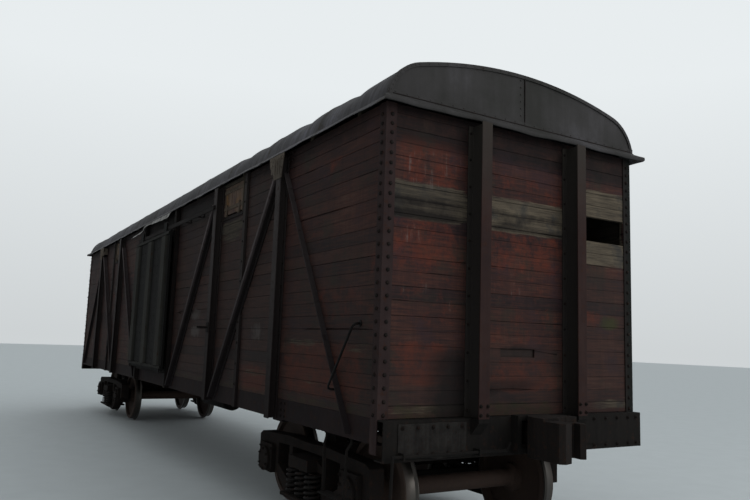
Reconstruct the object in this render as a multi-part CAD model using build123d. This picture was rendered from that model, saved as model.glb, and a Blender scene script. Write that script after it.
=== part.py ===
from build123d import *
import math
import os

os.makedirs("parts", exist_ok=True)

# A broad-gauge, four-axle covered goods wagon: timber body in an external steel truss,
# arched roof, one sliding door a side, two cast two-axle bogies. Millimetres.
# +X is the end with the missing boards, +Z is up, Z = 0 is the lowest point of the wheel flanges.

# Body
body_length = 13700.0
body_width = 2870.0
wall_height = 2470.0
floor_thickness = 80.0
plank_thickness = 50.0
plank_width = 115.0
lowest_plank = 95.0
groove_width = 6.0
groove_depth = 6.0

# Corner angles, posts and braces
angle_leg = 100.0
angle_thickness = 8.0
angle_drop = 70.0
post_depth = 92.0
post_width = 112.0
post_web = 10.0
outer_post_from_end = 1920.0
inner_post_from_end = 3915.0
brace_width = 90.0
brace_depth = 75.0
brace_web = 10.0
gusset_thickness = 20.0
gusset_width = 440.0
gusset_height = 230.0
batten_width = 80.0
batten_depth = 30.0
batten_from_end = 3020.0
end_post_depth = 190.0
end_post_flange = 108.0
end_post_web = 12.0
end_post_spacing = 1110.0
end_post_top_gap = 50.0

# Roof
roof_rise = 530.0
roof_side_radius = 400.0
roof_side_centre_drop = 12.0
roof_side_margin = 15.0
roof_thickness = 25.0
roof_overhang = 30.0
eave_lip_reach = 88.0
eave_lip_drop = 125.0
eave_lip_thickness = 10.0
eave_over_wall = 95.0
dome_thickness = 12.0
bow_count = 15
bow_width = 60.0
bow_depth = 60.0
cant_rail_height = 58.0
cant_rail_thickness = 70.0

# Sliding door
door_side_lap = 135.0
door_head_lap = 80.0
door_foot_drop = 30.0
door_panel = 36.0
door_rib_depth = 42.0
door_rib_width = 330.0
door_rib_taper = 60.0
door_rib_count = 3
door_rail_height = 60.0
door_gap = 18.0
opening_width = 1830.0
opening_height = 1965.0
jamb_width = 100.0
jamb_depth = 60.0
jamb_lining = 10.0
track_height = 55.0
track_thickness = 14.0
track_over_door = 17.0
hanger_width = 160.0
hanger_thickness = 10.0
roller_radius = 42.0
guide_gap = 6.0

# Ventilation hatches
hatch_width = 670.0
hatch_height = 370.0
hatch_from_inner_post = 38.0
hatch_below_top = 50.0
hatch_lid_thickness = 34.0
hatch_gap = 6.0
hatch_hinge_radius = 12.0

# Missing boards in the front end wall, counted up from the lowest full one
missing_planks = (13, 14)

# Underframe
centre_sill_height = 300.0
centre_sill_gap = 350.0
centre_sill_web = 12.0
centre_sill_flange = 90.0
side_sill_height = 190.0
side_sill_flange = 80.0
side_sill_web = 10.0
jacking_pad_length = 220.0
jacking_pad_thickness = 20.0
end_sill_stand_off = 85.0
end_sill_height = 305.0
end_sill_web = 12.0
end_sill_flange = 110.0
bearer_width = 90.0
bearer_depth = 160.0
bearer_web = 10.0
bearer_stations = (600.0, 1500.0, 2500.0, 3500.0)
bolster_width = 300.0
bolster_side_depth = 160.0
bolster_mid_depth = 330.0

# Running gear
pivot_spacing = 10000.0
wheelbase = 1850.0
tread_radius = 475.0
flange_depth = 28.0
wheel_width = 130.0
wheel_back_to_back = 1440.0
journal_from_wheel = 168.0
journal_radius = 65.0
journal_length = 220.0
axle_radius = 82.0
running_clearance = 0.3
pivot_over_axle = 331.0
pivot_plate_radius = 150.0
pivot_plate_depth = 22.0
pivot_box_height = 63.7
side_bearing_inset = 256.0
side_bearing_height = 56.0
side_bearing_gap = 8.0
bowl_height = 34.0

# Couplers
coupler_over_sill_foot = 168.0
coupler_projection = 430.0

axle_z = tread_radius + flange_depth
journal_spacing = wheel_back_to_back + 2 * (wheel_width + journal_from_wheel)
pivot_plate_z = axle_z + pivot_over_axle
bolster_top_z = pivot_plate_z - bowl_height
side_bearing_y = journal_spacing / 2 - side_bearing_inset
side_bearing_z = bolster_top_z + side_bearing_height
centre_sill_bottom_z = pivot_plate_z + running_clearance + pivot_plate_depth + pivot_box_height
sill_top_z = centre_sill_bottom_z + centre_sill_height
sill_bottom_z = sill_top_z - side_sill_height
end_sill_bottom_z = sill_top_z - end_sill_height
floor_top_z = sill_top_z + floor_thickness
wall_top_z = sill_top_z + wall_height
corner_bottom_z = sill_bottom_z - angle_drop
roof_top_z = wall_top_z + roof_rise
roof_side_centre_z = wall_top_z - roof_side_centre_drop
eave_top_z = wall_top_z + eave_over_wall
coupler_height = centre_sill_bottom_z + coupler_over_sill_foot

half_length = body_length / 2
half_width = body_width / 2
roof_half_width = half_width + roof_side_margin
end_sill_face = half_length + end_sill_stand_off
coupler_reach = end_sill_face + coupler_projection
wall_face_y = half_width - angle_thickness
wall_face_x = half_length - angle_thickness
inner_y = wall_face_y - plank_thickness
inner_x = wall_face_x - plank_thickness
post_face_y = wall_face_y + post_depth
outer_post_x = half_length - outer_post_from_end
inner_post_x = half_length - inner_post_from_end
door_inner_y = post_face_y + door_gap
door_face_y = door_inner_y + door_panel
half_opening = opening_width / 2
jamb_edge_x = half_opening + jamb_width
opening_top_z = floor_top_z + opening_height
door_width = opening_width + 2 * door_side_lap
door_bottom_z = floor_top_z - door_foot_drop
door_top_z = opening_top_z + door_head_lap
track_bottom_z = door_top_z + track_over_door
gap_low_z = sill_top_z + lowest_plank + plank_width * missing_planks[0]
gap_high_z = gap_low_z + plank_width * len(missing_planks)


def block(x0, x1, y0, y1, z0, z1):
    """A box between two corners."""
    return Pos((x0 + x1) / 2, (y0 + y1) / 2, (z0 + z1) / 2) * Box(abs(x1 - x0), abs(y1 - y0), abs(z1 - z0))


def rod(start, end, radius):
    """A round bar between two points."""
    a = Vector(*start)
    b = Vector(*end)
    return Solid.make_cylinder(radius, (b - a).length, Plane(origin=a, z_dir=(b - a).normalized()))


def bent_rod(points, radius):
    """Round bar through the points, with ball corners."""
    bar = rod(points[0], points[1], radius)
    for a, b in zip(points[1:], points[2:]):
        bar = bar + Pos(*a) * Sphere(radius) + rod(a, b, radius)
    return bar


def prism_xz(points, y0, y1):
    """Outline in X and Z, pushed along Y."""
    face = make_face(Polyline([(x, y0, z) for x, z in points], close=True))
    return extrude(face, amount=y1 - y0, dir=(0, 1, 0))


def prism_yz(points, x0, x1):
    """Outline in Y and Z, pushed along X."""
    face = make_face(Polyline([(x0, y, z) for y, z in points], close=True))
    return extrude(face, amount=x1 - x0, dir=(1, 0, 0))


def prism_xy(points, z0, z1):
    """Outline in X and Y, pushed along Z."""
    face = make_face(Polyline([(x, y, z0) for x, y in points], close=True))
    return extrude(face, amount=z1 - z0, dir=(0, 0, 1))


def turned(shape):
    """The same piece at the far end and other side of the wagon."""
    return Rot(0, 0, 180) * shape


def flipped_x(shape):
    return mirror(shape, Plane.YZ)


def flipped_y(shape):
    return mirror(shape, Plane.XZ)


def all_corners(shape):
    """Four copies, mirrored end for end and side for side."""
    front = [shape, flipped_y(shape)]
    return front + [flipped_x(piece) for piece in front]


def save(name, *pieces):
    """Write one node, of one or more solids."""
    solids = []
    for piece in pieces:
        solids += piece.solids()
    shape = solids[0] if len(solids) == 1 else Compound(children=solids)
    export_step(shape, f"parts/{name}.step")


def plank_edges():
    """Heights of the seams between boards, over a narrow lowest one."""
    first = sill_top_z + lowest_plank
    count = int((wall_top_z - first) / plank_width) + 1
    return [first + plank_width * i for i in range(count)]


def channel_y(x0, x1, y_face, z0, z1, flange, web):
    """Channel that runs along X, web at y_face, flanges towards the centreline."""
    side = 1 if y_face > 0 else -1
    outer = block(x0, x1, y_face, y_face - side * flange, z0, z1)
    return outer - block(x0, x1, y_face - side * web, y_face - side * (flange + 1), z0 + web, z1 - web)


# Floor and underframe

def make_floor():
    floor = block(-inner_x, inner_x, -inner_y, inner_y, sill_top_z, floor_top_z)
    save("floor", floor)


centre_sill_y = centre_sill_gap / 2 + centre_sill_web
centre_sill_end_x = end_sill_face - end_sill_web


def make_centre_sill():
    """Two Z sections back to back with a cover plate on top and an open underside."""
    half = block(-centre_sill_end_x, centre_sill_end_x, centre_sill_gap / 2, centre_sill_y,
                 centre_sill_bottom_z, sill_top_z)
    half += block(-centre_sill_end_x, centre_sill_end_x, centre_sill_y, centre_sill_y + centre_sill_flange,
                  centre_sill_bottom_z, centre_sill_bottom_z + centre_sill_web)
    cover = block(-centre_sill_end_x, centre_sill_end_x, -centre_sill_gap / 2, centre_sill_gap / 2,
                  sill_top_z - centre_sill_web, sill_top_z)
    save("centre_sill", half + flipped_y(half) + cover)


def make_side_sills():
    """Channels under the side walls, with a jacking pad below each body bolster."""
    sill = channel_y(-wall_face_x, wall_face_x, -wall_face_y, sill_bottom_z, sill_top_z,
                     side_sill_flange, side_sill_web)
    for x in (-pivot_spacing / 2, pivot_spacing / 2):
        sill += block(x - jacking_pad_length / 2, x + jacking_pad_length / 2, -wall_face_y,
                      -wall_face_y + side_sill_flange, sill_bottom_z - jacking_pad_thickness, sill_bottom_z)
    save("side_sills", sill, flipped_y(sill))


striker_half_width = 150.0
striker_rim = 40.0
striker_below_coupler = 105.0
striker_above_coupler = 110.0
striker_bottom_z = coupler_height - striker_below_coupler
striker_depth = 90.0
post_foot_drop = 130.0
post_foot_edge = 30.0


def make_end_sills():
    """Channel across the end, with the draw opening framed by a casting and a foot under each post."""
    web = block(end_sill_face - end_sill_web, end_sill_face, -wall_face_y, wall_face_y,
                end_sill_bottom_z, sill_top_z)
    flange_x = end_sill_face - end_sill_web - end_sill_flange
    lower = block(flange_x, end_sill_face, centre_sill_y + centre_sill_flange, wall_face_y,
                  end_sill_bottom_z, end_sill_bottom_z + end_sill_web)
    beam = web + lower + flipped_y(lower)
    ledge = block(wall_face_x, end_sill_face, centre_sill_y, wall_face_y,
                  sill_top_z - end_sill_web, sill_top_z)
    beam += ledge + flipped_y(ledge)
    frame = block(end_sill_face, end_sill_face + striker_depth, -striker_half_width - striker_rim,
                  striker_half_width + striker_rim, striker_bottom_z - striker_rim - 10,
                  coupler_height + striker_above_coupler + striker_rim)
    beam += frame
    beam -= block(flange_x, end_sill_face + striker_depth + 1, -striker_half_width, striker_half_width,
                  striker_bottom_z, coupler_height + striker_above_coupler)
    foot_face = wall_face_x + end_post_depth
    for y in (-end_post_spacing / 2, end_post_spacing / 2):
        beam += prism_xz([(end_sill_face, sill_top_z), (foot_face, sill_top_z),
                          (foot_face, sill_top_z - post_foot_edge),
                          (end_sill_face, sill_top_z - post_foot_drop)],
                         y - end_post_flange / 2, y + end_post_flange / 2)
    hole = train_pipe_line(train_pipe_radius + pipe_hole_clearance)
    save("end_sills", beam - hole, turned(beam) - hole)


train_pipe_y = 330.0
train_pipe_drop = 210.0
train_pipe_z = sill_top_z - train_pipe_drop
train_pipe_radius = 21.0
train_pipe_reach = 90.0
pipe_hole_clearance = 0.3


def train_pipe_line(radius):
    """The straight run of the air pipe."""
    reach = end_sill_face + train_pipe_reach
    return rod((-reach, train_pipe_y, train_pipe_z), (reach, train_pipe_y, train_pipe_z), radius)


bearing_arm_reach = 120.0
bearing_pad_half_x = 110.0
bearing_pad_half_y = 90.0


def make_crossmembers():
    """Body bolsters over the bogies and light bearers between them."""
    web_y = centre_sill_y
    side_y = wall_face_y - side_sill_web
    pipe = train_pipe_line(train_pipe_radius + pipe_hole_clearance)
    low_flange = block(-half_length, half_length, web_y, web_y + centre_sill_flange,
                       centre_sill_bottom_z - 1, centre_sill_bottom_z + centre_sill_web)
    outer_flange = block(-half_length, half_length, wall_face_y - side_sill_flange, wall_face_y,
                         sill_bottom_z, sill_bottom_z + side_sill_web)
    outer_flange += block(-half_length, half_length, wall_face_y - side_sill_flange, wall_face_y,
                          sill_top_z - side_sill_web, sill_top_z)
    members = []
    pivot_x = pivot_spacing / 2
    bolster_section = [(web_y, sill_top_z), (side_y, sill_top_z), (side_y, sill_top_z - bolster_side_depth),
                       (side_bearing_y + bearing_arm_reach, sill_top_z - bolster_mid_depth),
                       (web_y, sill_top_z - bolster_mid_depth)]
    arm = prism_yz(bolster_section, pivot_x - bolster_width / 2, pivot_x + bolster_width / 2)
    arm = arm - low_flange - outer_flange
    arm += block(pivot_x - bearing_pad_half_x, pivot_x + bearing_pad_half_x,
                 side_bearing_y - bearing_pad_half_y, side_bearing_y + bearing_pad_half_y,
                 side_bearing_z + side_bearing_gap, sill_top_z - bolster_mid_depth)
    members += all_corners(arm)
    for x in bearer_stations:
        beam = block(x - bearer_width / 2, x + bearer_width / 2, web_y, side_y,
                     sill_top_z - bearer_depth, sill_top_z)
        beam -= block(x - bearer_width / 2 + bearer_web, x + bearer_width / 2 + 1, web_y - 1, side_y + 1,
                      sill_top_z - bearer_depth + bearer_web, sill_top_z - bearer_web)
        members += all_corners(beam - outer_flange)
    save("crossmembers", *[piece - pipe for piece in members])


pivot_box_half_length = 170.0


def make_pivot_plates():
    """Round centre plates under the body, carried by a box between the sill webs."""
    x = pivot_spacing / 2
    base_z = pivot_plate_z + running_clearance
    plate = Pos(x, 0, base_z + pivot_plate_depth / 2) * Cylinder(pivot_plate_radius, pivot_plate_depth)
    plate += block(x - pivot_box_half_length, x + pivot_box_half_length, -centre_sill_y, centre_sill_y,
                   base_z + pivot_plate_depth, centre_sill_bottom_z)
    save("pivot_plates", plate, flipped_x(plate))


# Walls

def boarded(slab, cutter):
    """Cut the seams of the boards into the outer face."""
    for z in plank_edges():
        slab -= cutter(z - groove_width / 2, z + groove_width / 2)
    return slab


hatch_x0 = inner_post_x + post_width / 2 + hatch_from_inner_post
hatch_x1 = hatch_x0 + hatch_width
hatch_z1 = wall_top_z - hatch_below_top
hatch_z0 = hatch_z1 - hatch_height


def make_side_walls():
    """Boarded panels from the door post to the corner, each with its hatch cut out."""
    edge_x = half_opening + jamb_lining
    panel = block(edge_x, wall_face_x, -wall_face_y, -inner_y, sill_top_z, wall_top_z)
    panel = boarded(panel, lambda z0, z1: block(edge_x - 1, wall_face_x + 1, -wall_face_y - 1,
                                                -wall_face_y + groove_depth, z0, z1))
    panel -= block(hatch_x0, hatch_x1, -wall_face_y - 1, -inner_y + 1, hatch_z0, hatch_z1)
    save("wall_right_front", panel)
    save("wall_right_rear", flipped_x(panel))
    save("wall_left_front", flipped_y(panel))
    save("wall_left_rear", turned(panel))


def make_end_walls():
    """Boarded ends between the side walls. Two boards are missing beside one post at the front."""
    panel = block(inner_x, wall_face_x, -inner_y, inner_y, sill_top_z, wall_top_z)
    panel = boarded(panel, lambda z0, z1: block(wall_face_x - groove_depth, wall_face_x + 1, -inner_y - 1,
                                                inner_y + 1, z0, z1))
    missing = block(inner_x - 1, wall_face_x + 1, end_post_spacing / 2 + end_post_flange / 2, inner_y - 40,
                    gap_low_z, gap_high_z)
    save("end_wall_front", panel - missing)
    save("end_wall_rear", flipped_x(panel))


def make_corner_angles():
    """Riveted angles up the four corners, over both faces."""
    x = half_length
    y = half_width
    angle = block(x - angle_leg, x, y - angle_thickness, y, corner_bottom_z, wall_top_z)
    angle += block(x - angle_thickness, x, y - angle_leg, y, sill_top_z, wall_top_z)
    save("corner_angles", *all_corners(angle))


def make_side_posts():
    """Rolled joists as posts, one flange on the wall and one outside, and a thin batten."""
    posts = []
    post_top_z = eave_top_z - eave_lip_drop - eave_lip_thickness - 4
    for x in (outer_post_x, inner_post_x):
        post = block(x - post_width / 2, x + post_width / 2, wall_face_y, post_face_y,
                     sill_bottom_z, post_top_z)
        for side in (-1, 1):
            post -= block(x + side * post_web / 2, x + side * (post_width / 2 + 1), wall_face_y + post_web,
                          post_face_y - post_web, sill_bottom_z - 1, wall_top_z + 1)
        posts.append(post)
    x = half_length - batten_from_end
    posts.append(block(x - batten_width / 2, x + batten_width / 2, wall_face_y, wall_face_y + batten_depth,
                       sill_bottom_z, wall_top_z) - brace_cutter())
    everything = []
    for post in posts:
        everything += all_corners(post)
    save("side_posts", *everything)


brace_foot_z = sill_bottom_z + 40
brace_head_z = wall_top_z - gusset_height


def brace(x_top, x_foot):
    """Z bar laid as a brace, from the head of a post down to the sill. One flange lies on the boards,
    towards the post, and the other stands outside, away from it."""
    run = x_foot - x_top
    drop = brace_head_z - brace_foot_z
    length = math.hypot(run, drop)
    across = brace_width / 2 * length / drop
    outline = [(x_top - across, brace_head_z), (x_top + across, brace_head_z),
               (x_foot + across, brace_foot_z), (x_foot - across, brace_foot_z)]
    bar = prism_xz(outline, wall_face_y, wall_face_y + brace_depth)
    web = brace_web / 2 * length / drop
    over = 10.0
    slope = run / drop * over
    away = 1 if run > 0 else -1
    for side in (-1, 1):
        hollow = [(x_top - slope + side * web, brace_head_z + over),
                  (x_top - slope + side * 2 * across, brace_head_z + over),
                  (x_foot + slope + side * 2 * across, brace_foot_z - over),
                  (x_foot + slope + side * web, brace_foot_z - over)]
        if side == away:
            bar -= prism_xz(hollow, wall_face_y - 1, wall_face_y + brace_depth - brace_web)
        else:
            bar -= prism_xz(hollow, wall_face_y + brace_web, wall_face_y + brace_depth + 1)
    return bar


brace_clear = post_width / 2 + 8


def brace_ends():
    """Head and foot of each brace of one quarter of the body."""
    reach = brace_width / 2 * 1.35 + brace_clear
    return [
        (outer_post_x + reach, half_length - angle_leg - brace_width - 150),
        (outer_post_x - reach, inner_post_x + reach),
        (inner_post_x - reach, jamb_edge_x + brace_width),
    ]


def brace_cutter():
    """Room for the middle brace where the batten crosses it."""
    x_top, x_foot = brace_ends()[1]
    half = brace_width
    return prism_xz([(x_top - half, brace_head_z), (x_top + half, brace_head_z),
                     (x_foot + half, brace_foot_z), (x_foot - half, brace_foot_z)],
                    wall_face_y - 1, wall_face_y + brace_depth)


def make_side_braces():
    braces = []
    for x_top, x_foot in brace_ends():
        braces += all_corners(brace(x_top, x_foot))
    x = outer_post_x
    plate = block(x - gusset_width / 2, x + gusset_width / 2, wall_face_y, wall_face_y + gusset_thickness,
                  wall_top_z - gusset_height + 2, wall_top_z)
    plate -= block(x - post_width / 2 - 1, x + post_width / 2 + 1, wall_face_y - 1, post_face_y,
                   0, wall_top_z + 1)
    braces += all_corners(plate)
    save("side_braces", *braces)


def make_end_posts():
    """Rolled joists up the ends, standing on the ledge of the end sill."""
    y = end_post_spacing / 2
    top = wall_top_z - end_post_top_gap
    face = wall_face_x + end_post_depth
    t = end_post_web
    post = block(wall_face_x, wall_face_x + t, y - end_post_flange / 2, y + end_post_flange / 2,
                 sill_top_z, top)
    post += block(face - t, face, y - end_post_flange / 2, y + end_post_flange / 2, sill_top_z, top)
    post += block(wall_face_x, face, y - t / 2, y + t / 2, sill_top_z, top)
    save("end_posts", *all_corners(post))


def make_door_frames():
    """Posts beside the door opening, the header over it and the threshold under it."""
    jamb = block(half_opening, jamb_edge_x, wall_face_y, wall_face_y + jamb_depth, sill_bottom_z, wall_top_z)
    jamb += block(half_opening, half_opening + jamb_lining, inner_y, wall_face_y, sill_top_z, wall_top_z)
    header = block(-half_opening, half_opening, inner_y, wall_face_y, opening_top_z, wall_top_z)
    header += block(-half_opening, half_opening, wall_face_y, wall_face_y + jamb_depth,
                    opening_top_z, opening_top_z + 90)
    threshold = block(-half_opening, half_opening, inner_y, wall_face_y + jamb_depth, sill_top_z, floor_top_z)
    frame = jamb + flipped_x(jamb) + header + threshold
    save("door_frames", frame, flipped_y(frame))


# Door tracks, guides and doors

track_y = door_inner_y + 6
track_start_x = -door_width / 2 - 40
track_end_x = inner_post_x + post_width / 2
track_stations = (-960.0, -320.0, 320.0, 960.0, 1600.0, 2200.0)


def make_door_tracks():
    """Flat bar on edge, held off the wall by brackets, on the side the door slides to."""
    rail = block(track_start_x, track_end_x, track_y, track_y + track_thickness,
                 track_bottom_z, track_bottom_z + track_height)
    arm_z = track_bottom_z + 20
    for x in track_stations + (inner_post_x,):
        base_y = wall_face_y
        if half_opening < abs(x) < jamb_edge_x:
            base_y = wall_face_y + jamb_depth
        if x == inner_post_x:
            base_y = post_face_y
        rail += block(x - 20, x + 20, base_y, track_y, arm_z, arm_z + 12)
        rail += block(x - 20, x + 20, base_y, base_y + 10, arm_z, arm_z + 50)
    save("door_tracks", flipped_y(rail), flipped_x(rail))


stop_over_floor = 603.0
stop_z = floor_top_z + stop_over_floor
stop_reach = 130.0


def make_door_guides():
    """Hooked brackets that keep the door's foot in, and the stop on the post where it comes to rest."""
    pieces = []
    base_y = wall_face_y + jamb_depth
    station = half_opening + jamb_width / 2
    for x in (-station, station):
        hook = block(x - 40, x + 40, base_y, door_face_y + guide_gap + 10,
                     door_bottom_z - 22, door_bottom_z - 12)
        hook += block(x - 40, x + 40, door_face_y + guide_gap, door_face_y + guide_gap + 10,
                      door_bottom_z - 22, door_bottom_z + 28)
        hook += block(x - 40, x + 40, base_y, base_y + 10, sill_bottom_z + 20, door_bottom_z - 12)
        pieces.append(hook)
    x = inner_post_x
    stop = block(x - 14, x + 14, post_face_y, post_face_y + stop_reach, stop_z - 12, stop_z + 12)
    stop += block(x - 45, x + 45, post_face_y, post_face_y + 8, stop_z - 60, stop_z + 60)
    pieces.append(stop)
    everything = []
    for piece in pieces:
        everything += [flipped_y(piece), flipped_x(piece)]
    save("door_guides", *everything)


def door_leaf():
    """Steel leaf with pressed ribs, a rail top and bottom, and two roller hangers."""
    half = door_width / 2
    leaf = block(-half, half, door_inner_y, door_face_y, door_bottom_z, door_top_z)
    face = door_face_y + door_rib_depth
    rib_low = door_bottom_z + door_rail_height + 20
    rib_high = door_top_z - door_rail_height - 20
    pitch = (door_width - door_rib_width - 60) / (door_rib_count - 1)
    for i in range(door_rib_count):
        x = -half + 30 + door_rib_width / 2 + pitch * i
        outer = door_rib_width / 2
        crest = outer - door_rib_taper
        leaf += prism_xy([(x - outer, door_face_y - 1), (x + outer, door_face_y - 1),
                          (x + crest, face), (x - crest, face)], rib_low, rib_high)
    rail_face = door_face_y + 22
    for z in (door_bottom_z + 34, door_top_z - door_rail_height):
        leaf += block(-half, half, door_face_y - 1, rail_face, z, z + door_rail_height - 20)
    for x in (-half + 300, half - 300):
        rail_top = track_bottom_z + track_height
        wheel_z = rail_top + roller_radius + 0.3
        plate_y = track_y + track_thickness + 8
        leaf += block(x - hanger_width / 2, x + hanger_width / 2, plate_y, plate_y + hanger_thickness,
                      door_top_z - 60, wheel_z + 30)
        leaf += rod((x, track_y - 2, wheel_z), (x, plate_y + 1, wheel_z), roller_radius)
    return leaf


def make_doors():
    leaf = door_leaf()
    save("door_right", flipped_y(leaf))
    save("door_left", flipped_x(leaf))


def make_hatches():
    """Wooden lids in the hatch openings, hinged along the lower edge on the outside."""
    x0 = hatch_x0 + hatch_gap
    x1 = hatch_x1 - hatch_gap
    hinge_y = wall_face_y + hatch_hinge_radius
    lid = block(x0, x1, wall_face_y - hatch_lid_thickness, wall_face_y,
                hatch_z0 + hatch_hinge_radius + hatch_gap, hatch_z1 - hatch_gap)
    for z in (hatch_z0 + 90, hatch_z1 - 80):
        lid += block(x0, x1, wall_face_y, wall_face_y + 18, z, z + 50)
    hinge_z = hatch_z0
    for x in (x0 + 110, x1 - 110):
        lid += rod((x - 30, hinge_y, hinge_z), (x + 30, hinge_y, hinge_z), hatch_hinge_radius)
        lid += block(x - 18, x + 18, wall_face_y + 4, wall_face_y + 12, hinge_z, hatch_z0 + 140)
        lid += block(x - 18, x + 18, wall_face_y - 1, wall_face_y + 12, hatch_z0 + 40, hatch_z0 + 140)
    for name, piece in (("hatch_right_front", flipped_y(lid)), ("hatch_right_rear", turned(lid)),
                        ("hatch_left_front", lid), ("hatch_left_rear", flipped_x(lid))):
        save(name, piece)


# Roof

def crown_radius():
    """Radius of the roof's crown, tangent to the shoulder arcs and to the top height."""
    side_y = roof_half_width - roof_side_radius
    rise = roof_top_z - roof_side_centre_z
    return (side_y ** 2 + rise ** 2 - roof_side_radius ** 2) / (2 * (rise - roof_side_radius))


def roof_edge(offset, low_z):
    """Arch line offset inwards, as a wire from one eave to the other."""
    crown = crown_radius()
    centre_z = roof_top_z - crown
    side_y = roof_half_width - roof_side_radius
    lean = math.hypot(side_y, roof_side_centre_z - centre_z)
    join_y = side_y / lean * (crown - offset)
    join_z = centre_z + (roof_side_centre_z - centre_z) / lean * (crown - offset)
    radius = roof_side_radius - offset
    foot_y = side_y + math.sqrt(radius ** 2 - (low_z - roof_side_centre_z) ** 2)
    start = math.atan2(low_z - roof_side_centre_z, foot_y - side_y)
    end = math.atan2(join_z - roof_side_centre_z, join_y - side_y)
    mid = (start + end) / 2
    mid_y = side_y + radius * math.cos(mid)
    mid_z = roof_side_centre_z + radius * math.sin(mid)
    right = ThreePointArc((0, foot_y, low_z), (0, mid_y, mid_z), (0, join_y, join_z))
    top = ThreePointArc((0, join_y, join_z), (0, 0, roof_top_z - offset), (0, -join_y, join_z))
    left = ThreePointArc((0, -join_y, join_z), (0, -mid_y, mid_z), (0, -foot_y, low_z))
    return [right, top, left], foot_y


def arch_face(outer_offset, inner_offset, low_z):
    """Face between two offsets of the arch line, or under one of them."""
    outer, outer_y = roof_edge(outer_offset, low_z)
    if inner_offset is None:
        return make_face(Wire(outer + [Line((0, -outer_y, low_z), (0, outer_y, low_z))]))
    inner, inner_y = roof_edge(inner_offset, low_z)
    ends = [Line((0, outer_y, low_z), (0, inner_y, low_z)), Line((0, -outer_y, low_z), (0, -inner_y, low_z))]
    return make_face(Wire(outer + inner + ends))


roof_end_x = half_length + roof_overhang
roof_seat_z = wall_top_z


def lip_outline(face):
    """Section of the flared eave strip, out from a face."""
    drop_z = eave_top_z - eave_lip_drop
    return [(face - 8, eave_top_z), (face, eave_top_z), (face + eave_lip_reach, drop_z),
            (face + eave_lip_reach - eave_lip_thickness, drop_z - 4), (face - 8, eave_top_z - 18)]


def above_lip(face):
    """Section of the space over the flared strip, out from a face."""
    over = 2 * eave_lip_reach
    return [(face, eave_top_z), (face + over, eave_top_z - 2 * eave_lip_drop),
            (face + over, eave_top_z + eave_over_wall), (face, eave_top_z + eave_over_wall)]


def eave_edge_y():
    """Half width of the roof where the eave strip springs from it."""
    side_y = roof_half_width - roof_side_radius
    return side_y + math.sqrt(roof_side_radius ** 2 - (eave_top_z - roof_side_centre_z) ** 2)


def roof_sheet():
    """Arched shell with a flared strip along each eave."""
    shell = extrude(Pos(-roof_end_x, 0, 0) * arch_face(0, roof_thickness, roof_seat_z), amount=2 * roof_end_x,
                    dir=(1, 0, 0))
    lip = prism_yz(lip_outline(eave_edge_y()), -roof_end_x, roof_end_x)
    return shell + lip + flipped_y(lip)


def make_roof():
    save("roof", roof_sheet())


def make_roof_bows():
    """Curved ribs under the sheeting."""
    rib = arch_face(roof_thickness, roof_thickness + bow_depth, roof_seat_z)
    span = 2 * (inner_x - 400)
    bows = []
    for i in range(bow_count):
        x = -span / 2 + span * i / (bow_count - 1)
        bows.append(extrude(Pos(x - bow_width / 2, 0, 0) * rib, amount=bow_width, dir=(1, 0, 0)))
    save("roof_bows", *bows)


def make_domes():
    """Arched sheet that closes the roof's end, with a flared ledge mitred into the eaves."""
    plate = extrude(Pos(roof_end_x - dome_thickness - 3, 0, 0) * arch_face(roof_thickness, None, roof_seat_z),
                    amount=dome_thickness, dir=(1, 0, 0))
    face = roof_end_x - 3
    edge_y = eave_edge_y()
    reach_x = face + eave_lip_reach
    reach_y = edge_y + eave_lip_reach
    over_eave = prism_yz(above_lip(edge_y), face - 20, reach_x + 20)
    ledge = prism_xz(lip_outline(face), -reach_y, reach_y) - over_eave - flipped_y(over_eave)
    corner = prism_yz(lip_outline(edge_y), roof_end_x, reach_x) - prism_xz(above_lip(face), 0, reach_y + 20)
    dome = plate + ledge + corner + flipped_y(corner) - roof_sheet()
    save("end_dome_front", dome)
    save("end_dome_rear", turned(dome))


def make_cant_rails():
    """Angles along the top of the side walls, inside, which the bows stand on."""
    rail = block(-inner_x, inner_x, inner_y - cant_rail_thickness, inner_y,
                 wall_top_z - cant_rail_height, wall_top_z)
    rail -= block(-inner_x - 1, inner_x + 1, inner_y - cant_rail_thickness - 1, inner_y - 10,
                  wall_top_z - cant_rail_height - 1, wall_top_z - 10)
    save("cant_rails", rail, flipped_y(rail))


# Couplers, levers, steps and handholds

shank_half_width = 65.0
shank_half_height = 85.0
head_half_height = 160.0
yoke_length = 800.0
yoke_from_end_sill = 485.0
yoke_end_x = end_sill_face - yoke_from_end_sill
yoke_start_x = yoke_end_x - yoke_length


gear_below_axis = 115.0
gear_above_axis = 90.0
carrier_inset = 15.0
carrier_length = 70.0

# Outline of the claw: distance ahead of the coupling line, distance to the side
claw_outline = (
    (-330.0, -shank_half_width), (-300.0, -120.0), (-235.0, -190.0), (-140.0, -212.0), (120.0, -205.0),
    (152.0, -165.0), (128.0, -78.0), (30.0, -48.0), (-62.0, -25.0), (-100.0, 35.0), (-104.0, 92.0),
    (-62.0, 148.0), (12.0, 140.0), (34.0, 186.0), (-38.0, 232.0), (-150.0, 215.0), (-262.0, 132.0),
    (-330.0, shank_half_width),
)

# Steps in the claw's top: from and to ahead of the coupling line, from and to sideways, height over the axis
claw_steps = (
    (-100.0, 200.0, 60.0, 260.0, 115.0),
    (-40.0, 200.0, -260.0, -20.0, 140.0),
)


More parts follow.
